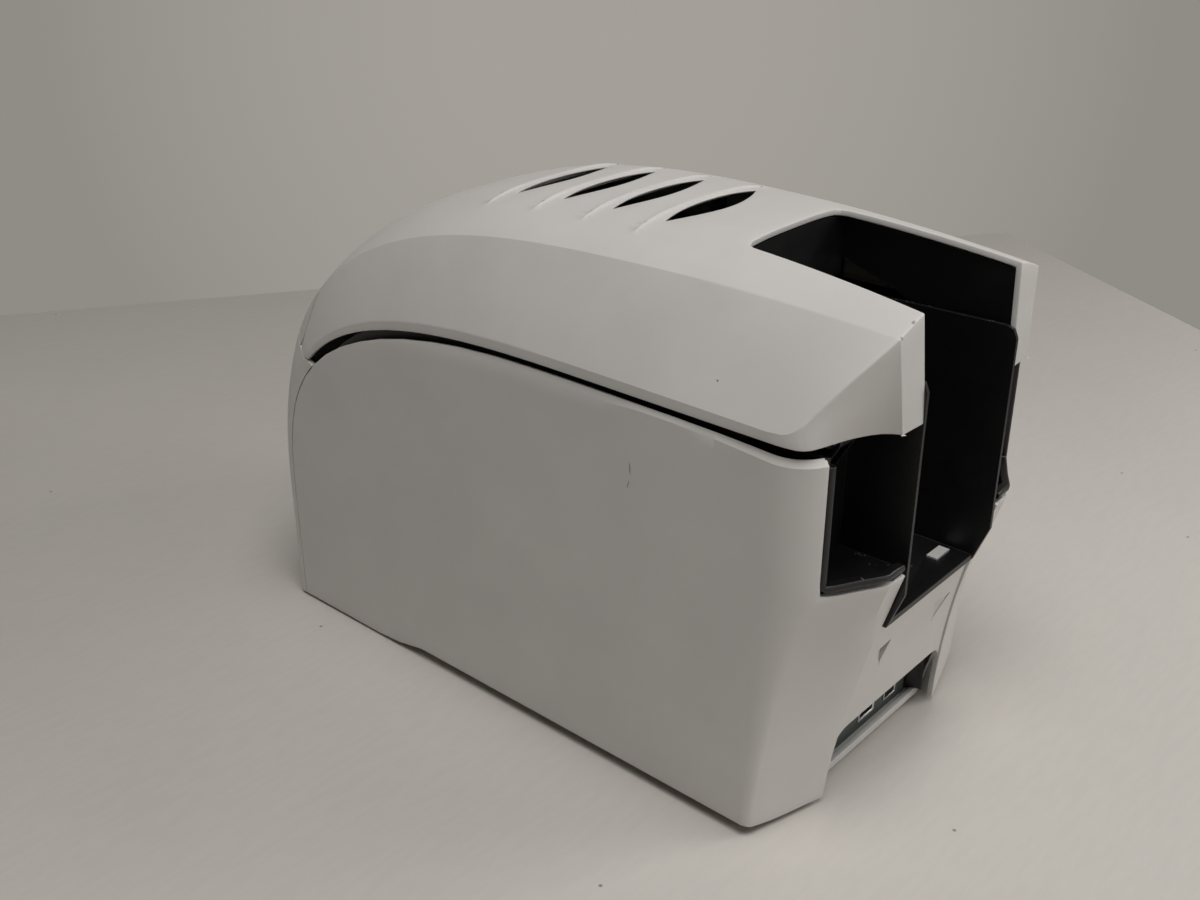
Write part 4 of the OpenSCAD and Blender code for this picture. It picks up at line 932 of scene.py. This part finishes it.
class CARD_OT_inner_mouldings(bpy.types.Operator):
    """Hopper, socket plate, sockets, output hopper, feet and the tray's rim, with rounded edges that catch light"""

    bl_idname = "card.inner_mouldings"
    bl_label = "Inner mouldings"

    def execute(self, context):
        for node, width in (("card_hopper", 0.0005), ("port_plate", 0.0002), ("network_socket", 0.0002),
                            ("usb_socket", 0.00015), ("output_hopper", 0.0004), ("rubber_feet", 0.0005)):
            dressed(node, width)
        # The photo shows only the rim of the tray, and in white
        dressed("base_tray", 0.0005, "shell_white", top=0.0084)
        return {"FINISHED"}


class CARD_OT_rear_panel(bpy.types.Operator):
    """Lower panel between the legs, a little behind them, with its two finger pits"""

    bl_idname = "card.rear_panel"
    bl_label = "Rear panel"

    def execute(self, context):
        cols, rows = 25, 18
        low_edge, high_edge, low_half, fillet = 41.5, 105.3, 51.6, 9.0
        side_gap, wall = 0.35, 0.0028

        def place(i, j):
            f = 2 * i / (cols - 1) - 1
            # The columns lie closer to the sides, where the lower corners are rounded
            f = math.copysign(1 - (1 - abs(f)) ** 1.5, f)
            in_corner = max(0.0, 1 - (1 - abs(f)) * low_half / fillet)
            low = low_edge - fillet * (1 - math.sqrt(1 - in_corner ** 2))
            z = low + (high_edge - low) * j / (rows - 1)
            return (f * (between(LEG_INNER, z) - side_gap), leg_rear(z) - PANEL_INSET, z)

        obj = shell(sheet(cols, rows, place), "rear_panel_shell", wall, "rear_panel", centre=(0, 0.1, 0.07), angle=30)
        # Each finger pit has three corners, with half width, height and depth, and a slot under it
        pit_height = 83
        face = leg_rear(pit_height) - PANEL_INSET
        corners = [(21.5, 86.0, 4.6), (38.5, 84.2, 0.5), (26.5, 73.5, 1.6)]
        pits = []
        for side in (1, -1):
            pit = bmesh.new()
            bmesh.ops.create_cone(pit, cap_ends=True, segments=3, radius1=1.0, radius2=1.0, depth=2.0)
            turns = [round(math.atan2(v.co.y, v.co.x), 3) for v in pit.verts]
            for v, turn in zip(pit.verts, turns):
                x, z, deep = corners[sorted(set(turns)).index(turn)]
                y = face + 4 if v.co.z > 0 else face + 0.1 * (z - pit_height) - deep
                v.co = Vector((side * x, y, z)) * MM
            bmesh.ops.recalc_face_normals(pit, faces=pit.faces)
            pits += [pit, block((side * 0.0262 - 0.0004, (face - 2.6) * MM, 0.067),
                                (side * 0.0262 + 0.0004, (face + 4) * MM, 0.0745))]
        carve(obj, *pits)
        round_edges(obj, 0.0005, 2, 50)
        return {"FINISHED"}


class CARD_OT_recess_and_bays(bpy.types.Operator):
    """Black cheeks of the socket recess and the rounded frames round the side bays"""

    bl_idname = "card.recess_and_bays"
    bl_label = "Recess cheeks and bay frames"

    def execute(self, context):
        # Plan of a cheek from front to rear, and its wall and lowest height
        cheek_plan = [(51.2, 165.6), (50.9, 164.0), (50.2, 162.0), (49.0, 159.5), (47.6, 157.2)]
        cheek_low, cheek_step, cheek_rows, cheek_wall = 8.6, 8.1, 5, 0.0009
        # Lip of a bay, down its outer side and in along its floor: place, and share of the turn between the two
        lip = [(89.3, 179.2, 203.0, 0), (89.3, 179.2, 195.0, 0), (89.3, 179.2, 175.0, 0), (89.3, 179.2, 158.0, 0),
               (89.3, 179.2, 146.5, 0.08), (88.6, 179.6, 142.4, 0.5), (86.4, 180.9, 140.6, 0.92),
               (82.6, 183.1, 140.2, 1), (77.2, 186.0, 140.2, 1), (71.4, 189.1, 140.2, 1), (65.0, 192.9, 140.2, 1),
               (60.4, 195.6, 140.2, 1), (57.4, 196.4, 140.2, 1), (51.4, 196.4, 140.2, 1), (46.0, 197.0, 140.2, 1)]
        # Section of the lip: width into the bay, and depth out of the corner's slanted face
        section = [(0.5, -4.5), (0.5, -0.6), (1.3, -0.1), (2.9, -0.1), (3.9, -0.7), (3.9, -4.5)]
        slant_x, slant_y = 0.868, 0.496
        past_slant = 12
        for name, sign in (("right", 1), ("left", -1)):
            def cheek_place(i, j):
                return (sign * cheek_plan[i][0], cheek_plan[i][1], cheek_low + cheek_step * j)

            bm = sheet(len(cheek_plan), cheek_rows, cheek_place)
            round_edges(shell(bm, "recess_cheek_" + name, cheek_wall, slot="liner_black",
                              centre=(sign * 0.12, 0.15, 0.02)), 0.0003)

            def lip_place(i, j):
                *corner, turn = lip[i]
                up = math.radians(90 * turn)
                along = Vector((-slant_x * math.cos(up), slant_y * math.cos(up), math.sin(up)))
                out = Vector((slant_y, slant_x, 0)) if i < past_slant else Vector((0.1, 0.995, 0))
                width, depth = section[j % len(section)]
                p = Vector(corner) + along * width + out * depth
                return (sign * p.x, min(p.y, REAR - 0.1), p.z)

            bm = sheet(len(lip), len(section) + 1, lip_place)
            bmesh.ops.holes_fill(bm, edges=[e for e in bm.edges if e.is_boundary], sides=0)
            bmesh.ops.recalc_face_normals(bm, faces=bm.faces)
            round_edges(piece(bm, "bay_frame_" + name, "root", "liner_black"), 0.0004, 2, 30)
        return {"FINISHED"}


class CARD_OT_studio(bpy.types.Operator):
    """Table, backdrop, soft lights and the camera of the photograph"""

    bl_idname = "card.studio"
    bl_label = "Studio"

    def execute(self, context):
        scene = context.scene
        colours = scene.shell_colours
        scene.view_settings.view_transform = "Standard"
        world = bpy.data.worlds.new("studio_world")
        scene.world = world
        world.use_nodes = True
        tree = world.node_tree
        soft = tree.nodes["Background"]
        soft.inputs["Color"].default_value = (1.0, 0.96, 0.92, 1.0)
        soft.inputs["Strength"].default_value = 0.05
        path = add_node(tree, "LightPath")
        seen = path.outputs["Is Camera Ray"]
        for ray in ("Is Glossy Ray", "Is Transmission Ray"):
            seen = add_node(tree, "Math", {0: seen, 1: path.outputs[ray]}, operation="MAXIMUM").outputs["Value"]
        # Painted light on the backdrop: a pool of light, brightest in one direction and fading round it
        brightest_way = (-0.744, -0.651, -0.15)
        middle = add_node(tree, "VectorMath", {0: add_node(tree, "TexCoord").outputs["Generated"], 1: brightest_way},
                          operation="DOT_PRODUCT")
        pool = add_node(tree, "MapRange", {"Value": middle.outputs["Value"], "From Min": 0.93, "From Max": 0.995})
        painted_wall_light = add_node(tree, "MixRGB", {"Fac": pool.outputs["Result"], "Color1": shade(colours.wall, 0.83),
                                          "Color2": shade(colours.wall, 1.1)}).outputs["Color"]
        backdrop = add_node(tree, "Background", {"Color": painted_wall_light, "Strength": 0.66})
        mix = add_node(tree, "MixShader", {"Fac": seen})
        tree.links.new(soft.outputs["Background"], mix.inputs[1])
        tree.links.new(backdrop.outputs["Background"], mix.inputs[2])
        tree.links.new(mix.outputs["Shader"], tree.nodes["World Output"].inputs["Surface"])

        # The far edges of the table top, where the backdrop begins, cross behind the object
        far_edges = (((-0.265, -0.65, 0.0), (-0.56, -0.83, 0.0)), ((-0.911, -0.2, 0.0), (-0.855, 0.52, 0.0)))
        bm = bmesh.new()
        bmesh.ops.create_grid(bm, x_segments=2, y_segments=2, size=3.0)
        for point, away in far_edges:
            cut_off(bm, point, away)
        table = new_object(bm, "table_top")
        # Painted board: pale and even, with brushed streaks 22 mm wide, soft stains and a few dark crumbs
        stains_per_metre, streaks_per_metre, crumbs_per_metre = 3.0, 45.0, 5.0
        mat, tree, shader, place = new_finish("painted_table", Roughness=0.38, IOR=1.5)
        tone = mottle(tree, place, stains_per_metre, shade(colours.floor, 0.97), shade(colours.floor, 1.02))
        swept = add_node(tree, "Mapping", {"Vector": place, "Rotation": (0.0, 0.0, 0.7), "Scale": (1.0, 5.0, 1.0)})
        streak = mottle(tree, swept.outputs["Vector"], streaks_per_metre, (0.97, 0.97, 0.97, 1.0),
                        (1.0, 1.0, 1.0, 1.0), 0.4, 0.6, 5.0)
        tone = add_node(tree, "MixRGB", {"Fac": 0.8, "Color1": tone, "Color2": streak},
                        blend_type="MULTIPLY").outputs["Color"]
        crumbs = add_node(tree, "TexVoronoi", {"Vector": place, "Scale": crumbs_per_metre}, voronoi_dimensions="2D")
        bare = add_node(tree, "MapRange", {"Value": crumbs.outputs["Distance"], "From Min": 0.003,
                                           "From Max": 0.006, "To Min": 0.75, "To Max": 0.0})
        tone = add_node(tree, "MixRGB", {"Fac": bare.outputs["Result"], "Color1": tone,
                                         "Color2": linear("5F5B55")}).outputs["Color"]
        tree.links.new(tone, shader.inputs["Base Color"])
        grain(tree, place, shader, 0.012, 0.00012)
        table.data.materials.append(mat)

        def lamp(name, place, aim, size, power):
            data = bpy.data.lights.new(name, "AREA")
            data.shape = "RECTANGLE"
            data.size, data.size_y = size
            data.energy = power
            data.color = (1.0, 0.98, 0.96)
            obj = bpy.data.objects.new(name, data)
            obj.location = place
            obj.rotation_euler = (Vector(aim) - Vector(place)).to_track_quat("-Z", "Y").to_euler()
            scene.collection.objects.link(obj)

        lamp("ceiling_light", (0.43, 0.45, 1.95), (0.0, 0.1, 0.1), (1.1, 1.1), 22.5)
        lamp("window_light", (-0.6, 2.0, 0.6), (-0.2, 0.3, 0.0), (1.4, 0.8), 3.8)
        lamp("table_light", (-0.8, 0.95, 0.9), (-0.45, 0.85, 0.0), (0.6, 0.6), 6.5)

        # The camera that was fitted to the straight edges of the photograph
        camera = bpy.data.objects.new("photo_camera", bpy.data.cameras.new("photo_camera"))
        camera.data.sensor_width = 36.0
        camera.data.lens = 40.91
        camera.location = (0.53477, 0.44206, 0.45755)
        camera.rotation_euler = (math.radians(64.197), 0.0, math.radians(131.19))
        scene.collection.objects.link(camera)
        scene.camera = camera
        return {"FINISHED"}


class CARD_PT_panel(bpy.types.Panel):
    """Lists the sizes, the colours and the steps"""

    bl_idname = "CARD_PT_panel"
    bl_label = "Card printer"
    bl_space_type = "VIEW_3D"
    bl_region_type = "UI"
    bl_category = "Card printer"

    def draw(self, context):
        for group in (context.scene.shell_sizes, context.scene.shell_colours):
            for key in group.bl_rna.properties.keys():
                if key not in ("rna_type", "name"):
                    self.layout.prop(group, key)
        for step in STEPS:
            self.layout.operator(step.bl_idname)


STEPS = (CARD_OT_finishes, CARD_OT_cover, CARD_OT_fascia, CARD_OT_bezel, CARD_OT_side_panels,
         CARD_OT_rear_panel, CARD_OT_inner_mouldings, CARD_OT_recess_and_bays, CARD_OT_studio)
CLASSES = (ShellSizes, ShellColours) + STEPS + (CARD_PT_panel,)


def register():
    for cls in CLASSES:
        bpy.utils.register_class(cls)
    bpy.types.Scene.shell_sizes = bpy.props.PointerProperty(type=ShellSizes)
    bpy.types.Scene.shell_colours = bpy.props.PointerProperty(type=ShellColours)


def unregister():
    del bpy.types.Scene.shell_sizes
    del bpy.types.Scene.shell_colours
    for cls in reversed(CLASSES):
        bpy.utils.unregister_class(cls)


def main():
    register()
    for step in STEPS:
        getattr(bpy.ops.card, step.bl_idname.split(".")[1])()


if __name__ == "__main__":
    main()
